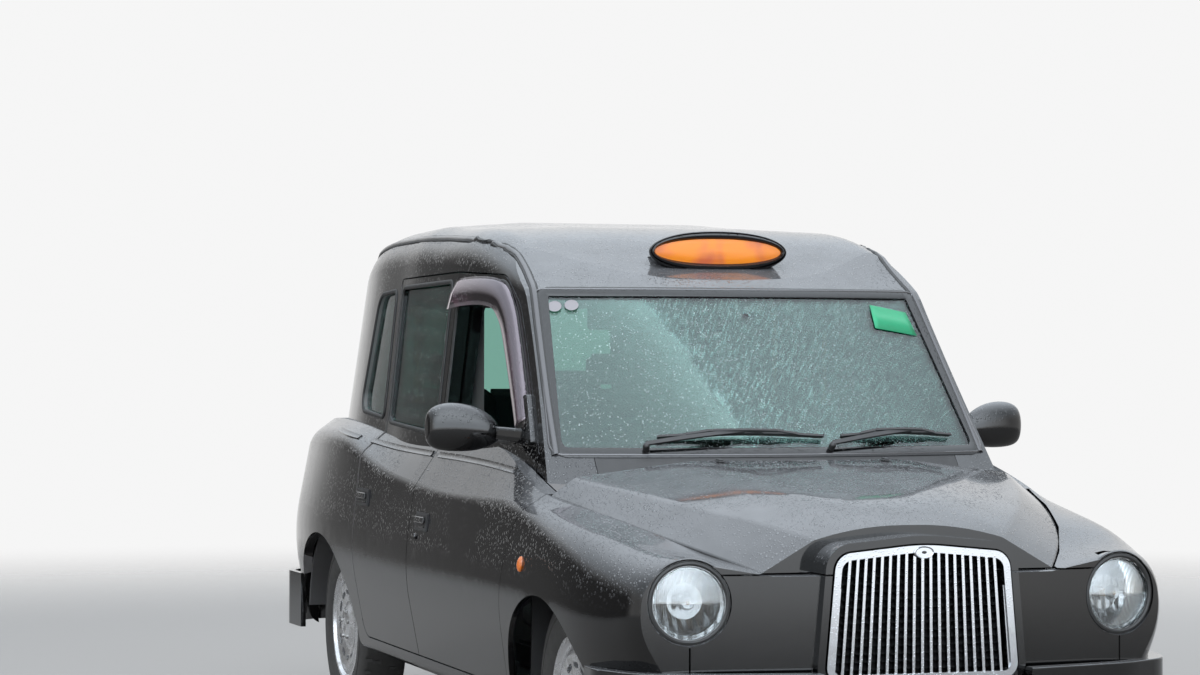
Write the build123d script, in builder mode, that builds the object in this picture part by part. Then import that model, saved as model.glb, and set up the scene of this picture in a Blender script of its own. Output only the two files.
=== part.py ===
from build123d import *
import os
from math import cos, sin, tan, radians, sqrt

os.makedirs("parts", exist_ok=True)

# London-style taxi cab, millimetres. The front faces -Y, +X is the cab's left, +Z is up, z = 0 is the road.
wheelbase = 2886
front_axle_y = -1515
rear_axle_y = front_axle_y + wheelbase
nose_y = -2290
tail_y = 2290

# wheels
tyre_radius = 334
tyre_width = 178
rim_radius = 203
track_half = 712

# panel thicknesses: doors, sides and roof with their trim, then outer skins of wings and lids
wall = 40
skin = 18
glass_depth = 12
glass_thickness = 5
gap = 5

# shut lines
door_front_y = -1262
b_line_y = 30
rear_door_end_y = 800
door_bottom_z = 345
waist_gap_z = 1052
hinge_x = 905
window_drop = 425

# windscreen: foot of its centre line, run back per unit of height, plan radius
screen_foot_y = -1205
screen_foot_z = 1053
screen_slope = 0.85
screen_radius = 1935

# rounding of the header above it: run back per unit of height, and a point of each flat's centre line
header_flats = [
    (1.2, -787, 1545),
    (1.9, -757, 1570),
]

# wheel arches and the rear panel
front_arch_y = -1475
rear_split_x = 545

# kingpin, headlamp, grille and the front shut line between bonnet and front panel
kingpin_x = 615
axle_z = tyre_radius
stub_radius = 17
lamp_x = 651
lamp_y = -2132
lamp_z = 681
lamp_radius = 100
lamp_hole_radius = 118
lamp_turn = 9
lens_dome = 205
grille_y = -2236
front_line_z = 757
bar_count = 19

# inside and outside fittings
driver_x = -360
steering_wheel_radius = 185
mirror_tip_x = 1018
sail_thickness = 14
sign_y = -520
sign_z = 1690
sign_half = 208
tow_thread_radius = 8
tow_eye_x = 310
tow_eye_z = 254
trim_slots = 12

# Lower body, one row per station. tilt turns the section's plane about Z, y is where it crosses x = 650.
# in = inner top corner (bonnet shut line, then inside the cabin), crest = shoulder, belly = widest line.
#        y    tilt  in_x in_z crest_x crest_z crest_r belly_x belly_z sill_x sill_z
lower_stations = [
    (-2140, 9.0, 425, 752, 784, 812, 128, 800, 600, 705, 440),
    (-2120, 9.0, 435, 757, 792, 819, 130, 818, 600, 725, 425),
    (-2060, 8.5, 470, 773, 806, 823, 128, 846, 600, 765, 400),
    (-1950, 7.0, 540, 802, 828, 830, 120, 876, 605, 800, 360),
    (-1780, 4.0, 640, 852, 850, 850, 110, 899, 620, 825, 320),
    (-1520, 1.0, 732, 902, 862, 872, 95, 905, 635, 835, 295),
    (-1262, 0.0, 796, 942, 864, 890, 80, 904, 640, 838, 288),
    (-800, 0.0, 775, 1046, 866, 902, 75, 904, 640, 838, 285),
    (200, 0.0, 779, 1052, 868, 922, 75, 905, 640, 838, 285),
    (640, 0.0, 780, 1064, 869, 968, 75, 905, 645, 838, 285),
    (1000, 0.0, 778, 1092, 866, 1040, 75, 906, 655, 838, 287),
    (1371, 0.0, 768, 1110, 856, 1062, 80, 906, 660, 835, 290),
    (1750, 0.0, 740, 1110, 826, 1050, 90, 892, 655, 820, 300),
    (2020, 0.0, 675, 1080, 775, 1010, 110, 850, 650, 775, 320),
    (2170, 0.0, 575, 1020, 690, 950, 130, 770, 645, 690, 350),
    (2245, 0.0, 470, 950, 570, 890, 120, 650, 640, 580, 390),
    (2270, 0.0, 380, 890, 470, 830, 100, 545, 640, 480, 430),
]

# Cabin, one row per station. tilt leans the plane back about X from z = waist.
#        y    tilt  base_x eave_x eave_z eave_r top_z
cabin_stations = [
    (-1300, 0, 738, 600, 1500, 60, 1500),
    (-980, 0, 770, 640, 1560, 70, 1560),
    (-660, 0, 786, 668, 1622, 80, 1614),
    (-300, 0, 792, 690, 1738, 120, 1738),
    (100, 0, 796, 700, 1788, 140, 1802),
    (600, 0, 796, 702, 1806, 150, 1834),
    (1100, 0, 790, 692, 1800, 150, 1826),
    (1500, -3, 764, 662, 1768, 150, 1790),
    (1760, -7, 712, 612, 1714, 150, 1734),
    (1910, -10, 650, 552, 1656, 140, 1676),
    (1990, -12, 570, 476, 1590, 120, 1606),
]

# Bonnet, one row per station: shut line, shoulder crease and centre line heights
#        y    in_x in_z crease_x crease_z top_z
bonnet_stations = [
    (-1180, 806, 946, 730, 1003, 1052),
    (-1500, 728, 900, 632, 965, 1014),
    (-1780, 634, 848, 505, 925, 974),
    (-2000, 528, 797, 375, 885, 930),
    (-2135, 446, 757, 285, 848, 886),
]


def section_plane(y, tilt_z=0, pivot_x=0, tilt_x=0, pivot_z=0):
    x_dir = Vector(cos(radians(tilt_z)), sin(radians(tilt_z)), 0)
    up = Vector(0, sin(radians(tilt_x)), cos(radians(tilt_x)))
    normal = x_dir.cross(up)
    origin = Vector(0, y - pivot_x * tan(radians(tilt_z)) - pivot_z * tan(radians(tilt_x)), 0)
    return Plane(origin=origin, x_dir=x_dir, z_dir=normal)


def fillet_reach(before, corner, after, radius):
    """How far along its runs a fillet of this radius reaches from its corner."""
    run_in = Vector(*corner, 0) - Vector(*before, 0)
    run_out = Vector(*after, 0) - Vector(*corner, 0)
    return radius * tan(radians(run_in.get_angle(run_out)) / 2)


def distance(start, end):
    return (Vector(*end, 0) - Vector(*start, 0)).length


def lower_body(inset):
    """Left half of the lower body, from nose to tail, shrunk by inset."""
    with BuildPart() as hull:
        for y, tilt, in_x, in_z, crest_x, crest_z, crest_r, belly_x, belly_z, sill_x, sill_z in lower_stations:
            end = inset if y < -2100 else (-inset if y > 2200 else 0)
            sill = (sill_x - inset, sill_z - 2 * inset)
            belly = (belly_x - inset, belly_z)
            crest = (crest_x - inset, crest_z - inset)
            inner = (in_x - inset, in_z - inset)
            shoulder_r = max(15, crest_r - inset)
            free_run = distance(belly, crest) - fillet_reach(belly, crest, inner, shoulder_r)
            free_run = min(0.9 * free_run, 0.7 * distance(sill, belly))
            belly_r = min(700, free_run / fillet_reach(sill, belly, crest, 1))
            with BuildSketch(section_plane(y + end, tilt, 650)):
                with BuildLine():
                    FilletPolyline(
                        (0, sill[1]), sill, belly, crest, inner, (0, inner[1]),
                        radius=[0, 50, belly_r, shoulder_r, 0, 0],
                        close=True,
                    )
                make_face()
        loft()
    return hull.part


def cabin_block(inset):
    """Whole cabin above the waist, before the windscreen is cut, shrunk by inset."""
    with BuildPart() as block:
        for y, tilt, base_x, eave_x, eave_z, eave_r, top_z in cabin_stations:
            end = -inset if y > 1800 else 0
            corner_r = max(15, eave_r - 0.8 * inset)
            with BuildSketch(section_plane(y + end, 0, 0, tilt, 1050)):
                with BuildLine():
                    FilletPolyline(
                        (base_x - inset, 930),
                        (eave_x - inset, eave_z - inset),
                        (0.45 * eave_x, top_z - inset + 0.001 * y),
                        (-0.45 * eave_x, top_z - inset + 0.001 * y),
                        (inset - eave_x, eave_z - inset),
                        (inset - base_x, 930),
                        radius=[0, corner_r, 500, 500, corner_r, 0],
                        close=True,
                    )
                make_face()
        loft()
    return block.part


def side_block(points, radii, low_x, high_x, grow=0):
    """Prism of a side-view outline of (y, z) corners, between two values of x."""
    with BuildPart() as block:
        with BuildSketch(Plane.YZ.offset(low_x)):
            with BuildLine():
                FilletPolyline(*points, radius=radii, close=True)
            make_face()
            if grow:
                offset(amount=grow, kind=Kind.INTERSECTION)
        extrude(amount=high_x - low_x)
    return block.part


def front_block(points, radii, low_y, high_y):
    """Prism of a front-view outline of (x, z) corners, between two values of y."""
    with BuildPart() as block:
        with BuildSketch(Plane.XZ.offset(-high_y)):
            with BuildLine():
                FilletPolyline(*points, radius=radii, close=True)
            make_face()
        extrude(amount=high_y - low_y)
    return block.part


def box(low, high):
    """Box between two opposite corners."""
    with BuildPart() as block:
        with Locations([(Vector(*low) + Vector(*high)) / 2]):
            Box(high[0] - low[0], high[1] - low[1], high[2] - low[2])
    return block.part


def post(x, y, radius, low_z, high_z):
    """Upright cylinder."""
    with BuildPart() as block:
        with BuildSketch(Plane.XY.offset(low_z)):
            with Locations((x, y)):
                Circle(radius)
        extrude(amount=high_z - low_z)
    return block.part


def raked_block(depth, slope, foot_y, foot_z):
    """Everything behind a raked surface with the windscreen's plan curve, pushed back by depth."""
    centre_y = foot_y - slope * (foot_z - 850) + depth
    edge_y = centre_y + screen_radius - sqrt(screen_radius**2 - 1000**2)
    with BuildPart() as block:
        with BuildSketch(Plane.XY.offset(850)):
            with BuildLine():
                ThreePointArc((-1000, edge_y), (0, centre_y), (1000, edge_y))
                Polyline((1000, edge_y), (1000, 3000), (-1000, 3000), (-1000, edge_y))
            make_face()
        extrude(amount=1150 * sqrt(1 + slope**2), dir=(0, slope, 1))
    return block.part


def screen_block(depth):
    """Everything behind the curved windscreen surface, pushed back by depth."""
    return raked_block(depth, screen_slope, screen_foot_y, screen_foot_z)


def cabin_front(depth):
    """Everything behind the windscreen and the rounded header above it."""
    block = screen_block(depth)
    for slope, flat_y, flat_z in header_flats:
        block = block & raked_block(depth, slope, flat_y, flat_z)
    return block


def arch_block(centre_y, centre_z, half_length, height, low_x, high_x):
    """Wheel-arch opening, an ellipse in side view."""
    with BuildPart() as block:
        with BuildSketch(Plane.YZ.offset(low_x)):
            with Locations((centre_y, centre_z)):
                Ellipse(half_length, height)
        extrude(amount=high_x - low_x)
    return block.part


def both_sides(piece):
    """A left-hand piece with its mirror image, as one compound."""
    return Compound(children=[piece, mirror(piece, about=Plane.YZ)])


def save(piece, name):
    """Label a finished piece and write it."""
    piece.label = name
    export_step(piece, f"parts/{name}.step")


# Side-view outlines, (y, z) corners, and a radius for each corner
front_door_outline = [
    (-1052, door_bottom_z), (-1098, 640), (-1150, 822), (-1262, 925), (-1262, waist_gap_z),
    (-1010, waist_gap_z + 2), (-628, 1520), (-470, 1618), (b_line_y + 40, 1640), (b_line_y + 40, door_bottom_z),
]
front_door_radii = [40, 300, 120, 60, 8, 30, 180, 150, 0, 0]
rear_door_outline = [
    (b_line_y - 80, door_bottom_z), (b_line_y - 80, 1638), (800, 1630), (810, 1100), (800, door_bottom_z),
]
rear_door_radii = [0, 0, 30, 300, 60]
door_opening_outline = front_door_outline[:7] + [(-470, 1618), (b_line_y, 1639)] + rear_door_outline[2:]
door_opening_radii = [40, 300, 120, 60, 8, 30, 180, 150, 0, 30, 300, 60]
front_glass_outline = [(-925, 1090), (-600, 1488), (-480, 1588), (-12, 1604), (-12, 1090)]
front_glass_radii = [40, 150, 130, 25, 25]
rear_glass_outline = [(88, 1094), (88, 1603), (752, 1594), (758, 1120)]
rear_glass_radii = [25, 25, 25, 25]
quarter_glass_outline = [(862, 1135), (862, 1585), (1120, 1572), (1240, 1155)]
quarter_glass_radii = [30, 30, 90, 60]
roof_outline = [
    (-1100, 1552), (-668, 1552), (-450, 1692), (-120, 1740), (420, 1768),
    (1060, 1775), (1560, 1722), (1800, 1640), (2300, 1640), (2300, 2000), (-1100, 2000),
]
roof_radii = [0, 60, 300, 500, 900, 900, 500, 200, 0, 0, 0]
wing_outline = [
    (-1052, 100), (-1052, door_bottom_z), (-1098, 640), (-1150, 822), (-1262, 925), (-1262, 1300),
    (-2400, 1300), (-2400, 100),
]
wing_radii = [0, 40, 300, 120, 60, 0, 0, 0]

# Solid volumes of the body, and the same shrunk by the wall and skin thicknesses
left_side = box((0, -2500, 0), (1200, 2500, 2000))
lower_outer = lower_body(0)
lower_inner = lower_body(wall)
lower_skin_inner = lower_body(skin)
cabin_outer = cabin_block(0) & cabin_front(0)
cabin_inner = cabin_block(wall) & cabin_front(wall)
shell_outer = lower_outer + (cabin_outer & left_side)
shell_left = shell_outer - lower_inner - cabin_inner

# Openings
front_arch = arch_block(front_arch_y, 300, 400, 358, 500, 1000)
rear_arch = arch_block(rear_axle_y, 330, 465, 356, 560, 1000)
screen_opening = front_block(
    [(-708, 1064), (-628, 1556), (628, 1556), (708, 1064)], [45, 60, 60, 45], -1500, -400
)
rear_window_opening = front_block(
    [(-470, 1160), (-430, 1560), (430, 1560), (470, 1160)], [50, 70, 70, 50], 1700, 2400
)

# Doors: the shut line between them is a cylinder about the front hinge, so that the rear edge swings clear
front_door_reach = b_line_y - gap / 2 - door_front_y
rear_door_reach = rear_door_end_y - gap / 2 - (b_line_y + gap / 2)
front_sweep = post(hinge_x, door_front_y, front_door_reach, 0, 2000)
front_sweep_clear = post(hinge_x, door_front_y, front_door_reach + gap, 0, 2000)
rear_sweep = post(hinge_x, b_line_y + gap / 2, rear_door_reach, 0, 2000)
front_glass_block = side_block(front_glass_outline, front_glass_radii, 500, 1000)
rear_glass_block = side_block(rear_glass_outline, rear_glass_radii, 500, 1000)
quarter_glass_block = side_block(quarter_glass_outline, quarter_glass_radii, 500, 1000)

door_flap = box((0, -1400, 0), (755, -1012, 1300))
with BuildPart() as door_front_left:
    add(shell_left)
    add(side_block(front_door_outline, front_door_radii, 600, 1000, -gap / 2), mode=Mode.INTERSECT)
    add(door_flap, mode=Mode.SUBTRACT)
    add(front_sweep, mode=Mode.INTERSECT)
    add(front_glass_block, mode=Mode.SUBTRACT)

with BuildPart() as door_rear_left:
    add(shell_left)
    add(side_block(rear_door_outline, rear_door_radii, 600, 1000, -gap / 2), mode=Mode.INTERSECT)
    add(front_sweep_clear, mode=Mode.SUBTRACT)
    add(rear_sweep, mode=Mode.INTERSECT)
    add(rear_glass_block, mode=Mode.SUBTRACT)

# Window glass, a thin sheet a little inside the outer surface
with BuildPart() as side_sheet:
    add(cabin_block(glass_depth))
    add(left_side, mode=Mode.INTERSECT)
    add(cabin_block(glass_depth + glass_thickness), mode=Mode.SUBTRACT)

door_glass_front_left = side_sheet.part & front_glass_block
lowered_outline = [(y, z - window_drop) for y, z in front_glass_outline]
lowered_block = side_block(lowered_outline, front_glass_radii, 500, 1000)
door_glass_front_right = mirror(door_glass_front_left & lowered_block, about=Plane.YZ)
door_glass_rear_left = side_sheet.part & rear_glass_block
quarter_glass_left = side_sheet.part & quarter_glass_block

with BuildPart() as windscreen:
    add(screen_block(4))
    add(screen_block(4 + glass_thickness * 1.3), mode=Mode.SUBTRACT)
    add(screen_opening, mode=Mode.INTERSECT)

# Roof, down to the gutter line
ceiling_block = box((-560, -1100, 1500), (560, 1700, 2000))
roof_block = side_block(roof_outline, roof_radii, -1000, 1000) + ceiling_block
with BuildPart() as roof_panel:
    add(cabin_outer)
    add(cabin_inner, mode=Mode.SUBTRACT)
    add(roof_block, mode=Mode.INTERSECT)
    add(screen_opening, mode=Mode.SUBTRACT)

# Side frame: sill, posts, cant rail, rear quarter with its window and wheel arch
wing_block = side_block(wing_outline, wing_radii, -10, 1000, 0)
rear_split = box((-rear_split_x, 1700, 0), (rear_split_x, 2500, 2000))
door_opening = side_block(door_opening_outline, door_opening_radii, 500, 1000, gap / 2)
door_opening = door_opening - box((0, -1400, 0), (750, -1017, 1300))
with BuildPart() as side_frame_left:
    add(shell_left)
    add(door_opening, mode=Mode.SUBTRACT)
    add(roof_block, mode=Mode.SUBTRACT)
    add(wing_block, mode=Mode.SUBTRACT)
    add(rear_split, mode=Mode.SUBTRACT)
    add(quarter_glass_block, mode=Mode.SUBTRACT)
    add(screen_opening, mode=Mode.SUBTRACT)
    add(rear_arch, mode=Mode.SUBTRACT)
    add(box((0, -1300, 0), (620, 2500, 600)), mode=Mode.SUBTRACT)
    add(box((0, -1300, 0), (600, -900, 1066)), mode=Mode.SUBTRACT)

# Rear panel with the back window and the boot opening
with BuildPart() as rear_shell:
    add(shell_outer)
    add(lower_inner, mode=Mode.SUBTRACT)
    add(cabin_inner, mode=Mode.SUBTRACT)
    add(rear_split, mode=Mode.INTERSECT)
    add(roof_block, mode=Mode.SUBTRACT)
    mirror(about=Plane.YZ)


def bonnet_solid(inset):
    """Bonnet volume above the wings, shrunk by inset."""
    with BuildPart() as block:
        for y, in_x, in_z, crease_x, crease_z, top_z in bonnet_stations:
            end = inset if y < -2100 else 0
            flange_z = in_z - 24 - 2 * inset
            half = [
                (in_x - gap / 2 - inset, flange_z), (in_x - gap / 2 - inset, in_z - inset),
                (crease_x - 0.6 * inset, crease_z - inset), (0.5 * crease_x, top_z - inset),
            ]
            other = [(-x, z) for x, z in reversed(half)]
            with BuildSketch(Plane.XZ.offset(-y - end)):
                with BuildLine():
                    FilletPolyline(*half, *other, radius=[0, 14, 60, 900, 900, 60, 14, 0], close=True)
                make_face()
        loft()
    return block.part


def tube(points, bend, radius):
    """Round bar along straight runs with rounded corners."""
    with BuildPart() as bar:
        with BuildLine() as path:
            if len(points) > 2:
                FilletPolyline(*points, radius=bend)
            else:
                Line(*points)
        with BuildSketch(Plane(origin=path.line @ 0, z_dir=path.line % 0)):
            Circle(radius)
        sweep()
    return bar.part


def plate(points, radii, low_z, high_z):
    """Prism of a plan outline of (x, y) corners, between two heights."""
    with BuildPart() as block:
        with BuildSketch(Plane.XY.offset(low_z)):
            with BuildLine():
                FilletPolyline(*points, radius=radii, close=True)
            make_face()
        extrude(amount=high_z - low_z)
    return block.part


def turned(profile, radii):
    """Ring or disc turned about the X axis from (x, radius) corners."""
    with BuildPart() as ring:
        with BuildSketch(Plane.XZ):
            with BuildLine():
                FilletPolyline(*profile, radius=radii, close=True)
            make_face()
        revolve(axis=Axis.X)
    return ring.part


# Front wing: open towards the engine bay along the bonnet shut line
engine_bay_points = [(-10, -1150), (bonnet_stations[0][1] + gap / 2, -1150)]
engine_bay_points += [(row[1] + gap / 2, row[0]) for row in bonnet_stations]
engine_bay_points += [(427, -2400), (-10, -2400)]
engine_bay = plate(engine_bay_points, 0, 0, 1400)
front_face = box((-10, -2400, 0), (lamp_x + gap / 2, -2020, front_line_z + gap / 2))
front_face_panel = box((-10, -2400, 300), (lamp_x - gap / 2, -2100, front_line_z - gap / 2))
front_skin = lower_outer - lower_skin_inner
lamp_plane = Plane(
    origin=(lamp_x, lamp_y, lamp_z), x_dir=(cos(radians(lamp_turn)), sin(radians(lamp_turn)), 0),
    z_dir=(sin(radians(lamp_turn)), -cos(radians(lamp_turn)), 0),
)
with BuildPart() as lamp_hole:
    with BuildSketch(lamp_plane.offset(-70)):
        Circle(lamp_hole_radius)
    extrude(amount=140)

with BuildPart() as front_wing_left:
    add(front_skin)
    add(wing_block, mode=Mode.INTERSECT)
    add(engine_bay, mode=Mode.SUBTRACT)
    add(front_face, mode=Mode.SUBTRACT)
    add(front_arch, mode=Mode.SUBTRACT)
    add(lamp_hole.part, mode=Mode.SUBTRACT)

# Front panel between the headlamps, with the shell that stands round the grille
grille_outline = [(-290, 462), (-259, 813), (0, 838), (259, 813), (290, 462)]
grille_radii = [42, 52, 600, 52, 42]


def grille_block(grow, low_y, high_y):
    """Prism of the grille's outline, grown by grow."""
    with BuildPart() as block:
        with BuildSketch(Plane.XZ.offset(-high_y)):
            with BuildLine():
                FilletPolyline(*grille_outline, radius=grille_radii, close=True)
            make_face()
            offset(amount=grow)
        extrude(amount=high_y - low_y)
    return block.part


arch_ring = grille_block(26, grille_y + 4, grille_y + 110) - grille_block(gap, grille_y - 10, grille_y + 120)
grille_hole = grille_block(-12, -2400, -1900) + grille_block(0.5, -2400, grille_y + 24.5)
with BuildPart() as front_panel:
    add(front_skin)
    add(front_face_panel, mode=Mode.INTERSECT)
    add(lamp_hole.part, mode=Mode.SUBTRACT)
    mirror(about=Plane.YZ)
    add(arch_ring & box((-500, -2400, 420), (500, -2000, front_line_z - gap / 2)))
    add(grille_hole, mode=Mode.SUBTRACT)

# Bonnet, with the nose of the shell that carries the top of the grille's surround
with BuildPart() as rear_edge:
    with BuildSketch(Plane.XY.offset(700)):
        with BuildLine():
            ThreePointArc((-900, -1254), (0, -1300), (900, -1254))
            Polyline((900, -1254), (900, -1000), (-900, -1000), (-900, -1254))
        make_face()
    extrude(amount=600)

with BuildPart() as bonnet:
    add(bonnet_solid(0))
    add(bonnet_solid(skin), mode=Mode.SUBTRACT)
    add(rear_edge.part, mode=Mode.SUBTRACT)
    add(box((-1000, -2400, 600), (1000, -2080, front_line_z + gap / 2)), mode=Mode.SUBTRACT)
    add(arch_ring & box((-500, -2400, front_line_z + gap / 2), (500, -2000, 900)))
    add(grille_block(gap, -2400, -2110), mode=Mode.SUBTRACT)

# Grille: surround, upright bars and a blank oval boss
with BuildPart() as grille:
    add(grille_block(0, grille_y, grille_y + 22))
    add(grille_block(-20, grille_y - 10, grille_y + 60), mode=Mode.SUBTRACT)
    with BuildSketch(Plane.XZ.offset(-(grille_y + 24))):
        for i in range(bar_count):
            share = (i - (bar_count - 1) / 2) / ((bar_count - 1) / 2)
            top_x, foot_x = 216 * share, 240 * share
            top_z = 818 - 12 * abs(share)
            with BuildLine():
                Polyline(
                    (foot_x - 4, 470), (foot_x + 4, 470), (top_x + 4, top_z), (top_x - 4, top_z), close=True
                )
            make_face()
        for side in (-1, 1):
            with BuildLine():
                Polyline(
                    (side * 262, 470), (side * 270, 470), (side * 251, 720), (side * 243, 720), close=True
                )
            make_face()
    extrude(amount=18)
    with BuildSketch(Plane.XZ.offset(-(grille_y + 10))):
        with Locations((0, 814)):
            Ellipse(26, 15)
    extrude(amount=14)

radiator = box((-235, -2085, 380), (235, -2035, 760))

# Headlamps: reflector bowl with its rubber ring, and a domed glass
with BuildPart() as headlamp_bowl:
    with BuildSketch(Plane.XZ):
        with BuildLine():
            Polyline(
                (lamp_radius + 1, 0), (lamp_hole_radius - 0.5, 0), (lamp_hole_radius - 0.5, -36),
                (lamp_radius - 4, -50), (55, -82), (0, -86), (0, -78), (50, -74), (lamp_radius - 12, -40),
                (lamp_radius - 10, -14), (lamp_radius + 1, -12), close=True,
            )
        make_face()
    revolve(axis=Axis.Z)

with BuildPart() as headlamp_glass:
    with Locations((0, 0, 5)):
        Cylinder(lamp_radius, 34)
    with Locations((0, 0, 22 - lens_dome)):
        Sphere(lens_dome, mode=Mode.INTERSECT)
    with Locations((0, 0, 16 - lens_dome)):
        Sphere(lens_dome, mode=Mode.SUBTRACT)
    with Locations((0, 0, -9)):
        Cylinder(lamp_radius, 6)
        Cylinder(lamp_radius - 6, 6, mode=Mode.SUBTRACT)

lamp_bowl_left = lamp_plane.location * headlamp_bowl.part
lamp_glass_left = lamp_plane.location * headlamp_glass.part

# Bumpers
front_bumper_outer = [
    (-866, -1862), (-870, -1960), (-812, -2110), (-640, -2210), (-270, nose_y), (270, nose_y), (640, -2210),
    (812, -2110), (870, -1960), (866, -1862),
]
front_bumper_inner = [
    (826, -1862), (830, -1952), (774, -2086), (616, -2172), (262, -2246), (-262, -2246), (-616, -2172),
    (-774, -2086), (-830, -1952), (-826, -1862),
]
bumper_radii = [0, 140, 160, 400, 900, 900, 400, 160, 140, 0]
with BuildPart() as front_bumper:
    add(plate(front_bumper_outer + front_bumper_inner, bumper_radii * 2, 262, 492))
    fillet(front_bumper.edges().filter_by(Plane.XY).filter_by(GeomType.LINE, reverse=True), 4)
    add(box((-310, -2400, 455), (310, -2000, 600)), mode=Mode.SUBTRACT)
    add(lower_outer, mode=Mode.SUBTRACT)
    add(mirror(lower_outer, about=Plane.YZ), mode=Mode.SUBTRACT)
    add(grille_block(27, -2400, -2000), mode=Mode.SUBTRACT)
    with Locations((tow_eye_x, -2260, tow_eye_z)):
        Cylinder(24, 140, rotation=(90, 0, 0), mode=Mode.SUBTRACT)

rear_bumper_outer = [
    (-858, 1840), (-866, 2050), (-775, 2205), (-560, 2276), (-280, tail_y), (280, tail_y), (560, 2276),
    (775, 2205), (866, 2050), (858, 1840),
]
rear_bumper_inner = [
    (838, 1840), (842, 2040), (752, 2182), (540, 2242), (270, 2252), (-270, 2252), (-540, 2242),
    (-752, 2182), (-842, 2040), (-838, 1840),
]
with BuildPart() as rear_bumper:
    add(plate(rear_bumper_outer + rear_bumper_inner, bumper_radii * 2, 290, 500))
    add(lower_outer, mode=Mode.SUBTRACT)
    add(mirror(lower_outer, about=Plane.YZ), mode=Mode.SUBTRACT)


# Tail lamps set in the rear corners
tail_lamp_block = front_block([(590, 690), (590, 985), (712, 985), (712, 690)], [30, 40, 60, 60], 1900, 2500)
with BuildPart() as tail_lamp_left:
    add(front_skin)
    add(tail_lamp_block, mode=Mode.INTERSECT)
    add(box((0, 2000, 0), (1000, 2500, 2000)), mode=Mode.INTERSECT)

# Boot lid and the rear panel round it
boot_lid_outline = [(-505, 560), (-505, 1078), (505, 1078), (505, 560)]
boot_lid_radii = [60, 30, 30, 60]
boot_opening_outline = [(-510, 555), (-510, 1083), (510, 1083), (510, 555)]
with BuildPart() as boot_lid:
    add(rear_shell.part)
    add(front_block(boot_lid_outline, boot_lid_radii, 1700, 2500), mode=Mode.INTERSECT)
with BuildPart() as rear_panel:
    add(rear_shell.part)
    add(front_block(boot_opening_outline, boot_lid_radii, 1700, 2500), mode=Mode.SUBTRACT)
    add(rear_window_opening, mode=Mode.SUBTRACT)
with BuildPart() as rear_window:
    add(cabin_block(glass_depth))
    add(cabin_block(glass_depth + glass_thickness), mode=Mode.SUBTRACT)
    add(rear_window_opening, mode=Mode.INTERSECT)

# Centre posts behind the door shut line, and the partition between them
post_slab = box((0, -25, 322), (1000, 75, 1650))
partition_slab = box((0, 10, 324), (1000, 40, 1640))


def slab_of_cabin(inset, slab):
    """Left half of a cross slab of the body, shrunk by inset."""
    return (lower_body(inset) + cabin_block(inset)) & slab


post_ends = box((0, -25, 322), (1000, 75, 342)) + box((0, -25, 1645), (1000, 75, 1680))
post_left = slab_of_cabin(wall + 6, post_slab) + slab_of_cabin(wall - 2, post_ends)
post_left = post_left - lower_body(wall + 40) - cabin_block(wall + 40)
side_frame_with_post = side_frame_left.part + post_left
side_frame_with_post = side_frame_with_post - tail_lamp_block

with BuildPart() as partition:
    add(slab_of_cabin(wall + 42, partition_slab))
    mirror(about=Plane.YZ)
    with BuildSketch(Plane.XZ.offset(-100)):
        with Locations((-335, 1260), (335, 1260)):
            RectangleRounded(590, 560, 40)
    extrude(amount=200, mode=Mode.SUBTRACT)

# Floor: passenger floor, kick-up over the rear axle, boot floor, rear wheelhouses
wheelhouse_radius = 404
wheelhouse_x = 572
wheelhouse_foot_z = axle_z + 46
floor_profile = [
    (-1185, 300), (-1185, 322), (985, 322), (1035, 542), (2150, 542), (2150, 520), (1053, 520), (1003, 300),
]
floor_plan = [
    (-360, -1185), (360, -1185), (360, -1110), (800, -1110), (800, 1500), (765, 1800), (690, 2000), (560, 2150),
    (-560, 2150), (-690, 2000), (-765, 1800), (-800, 1500), (-800, -1110), (-360, -1110),
]
with BuildPart() as floor_pan:
    add(side_block(floor_profile, 0, -900, 900))
    add(plate(floor_plan, 0, 200, 700), mode=Mode.INTERSECT)
    for side in (-1, 1):
        with BuildSketch(Plane.YZ.offset(side * wheelhouse_x)):
            with Locations((rear_axle_y, axle_z)):
                Circle(wheelhouse_radius)
        extrude(amount=side * 400, mode=Mode.SUBTRACT)
    for side in (-1, 1):
        with BuildSketch(Plane.YZ.offset(side * wheelhouse_x)) as dome:
            with Locations((rear_axle_y, axle_z)):
                Circle(wheelhouse_radius + 14)
            with Locations((rear_axle_y, wheelhouse_foot_z - 450)):
                Rectangle(900, 900, mode=Mode.SUBTRACT)
        extrude(amount=side * 264)
        with BuildSketch(Plane.YZ.offset(side * (wheelhouse_x + 14))):
            with Locations((rear_axle_y, axle_z)):
                Circle(wheelhouse_radius)
            with Locations((rear_axle_y, wheelhouse_foot_z - 466)):
                Rectangle(900, 900, mode=Mode.SUBTRACT)
        extrude(amount=side * 300, mode=Mode.SUBTRACT)

# Inner wings: a wall beside the engine and a shelf over each front wheel
inner_wing_profile = [(362, 440), (374, 440), (374, 714), (640, 714), (640, 726), (362, 726)]
with BuildPart() as inner_wing_left:
    add(front_block(inner_wing_profile, 0, -1990, -1200))
    add(box((300, -1590, 400), (400, -1440, 545)), mode=Mode.SUBTRACT)

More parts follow.
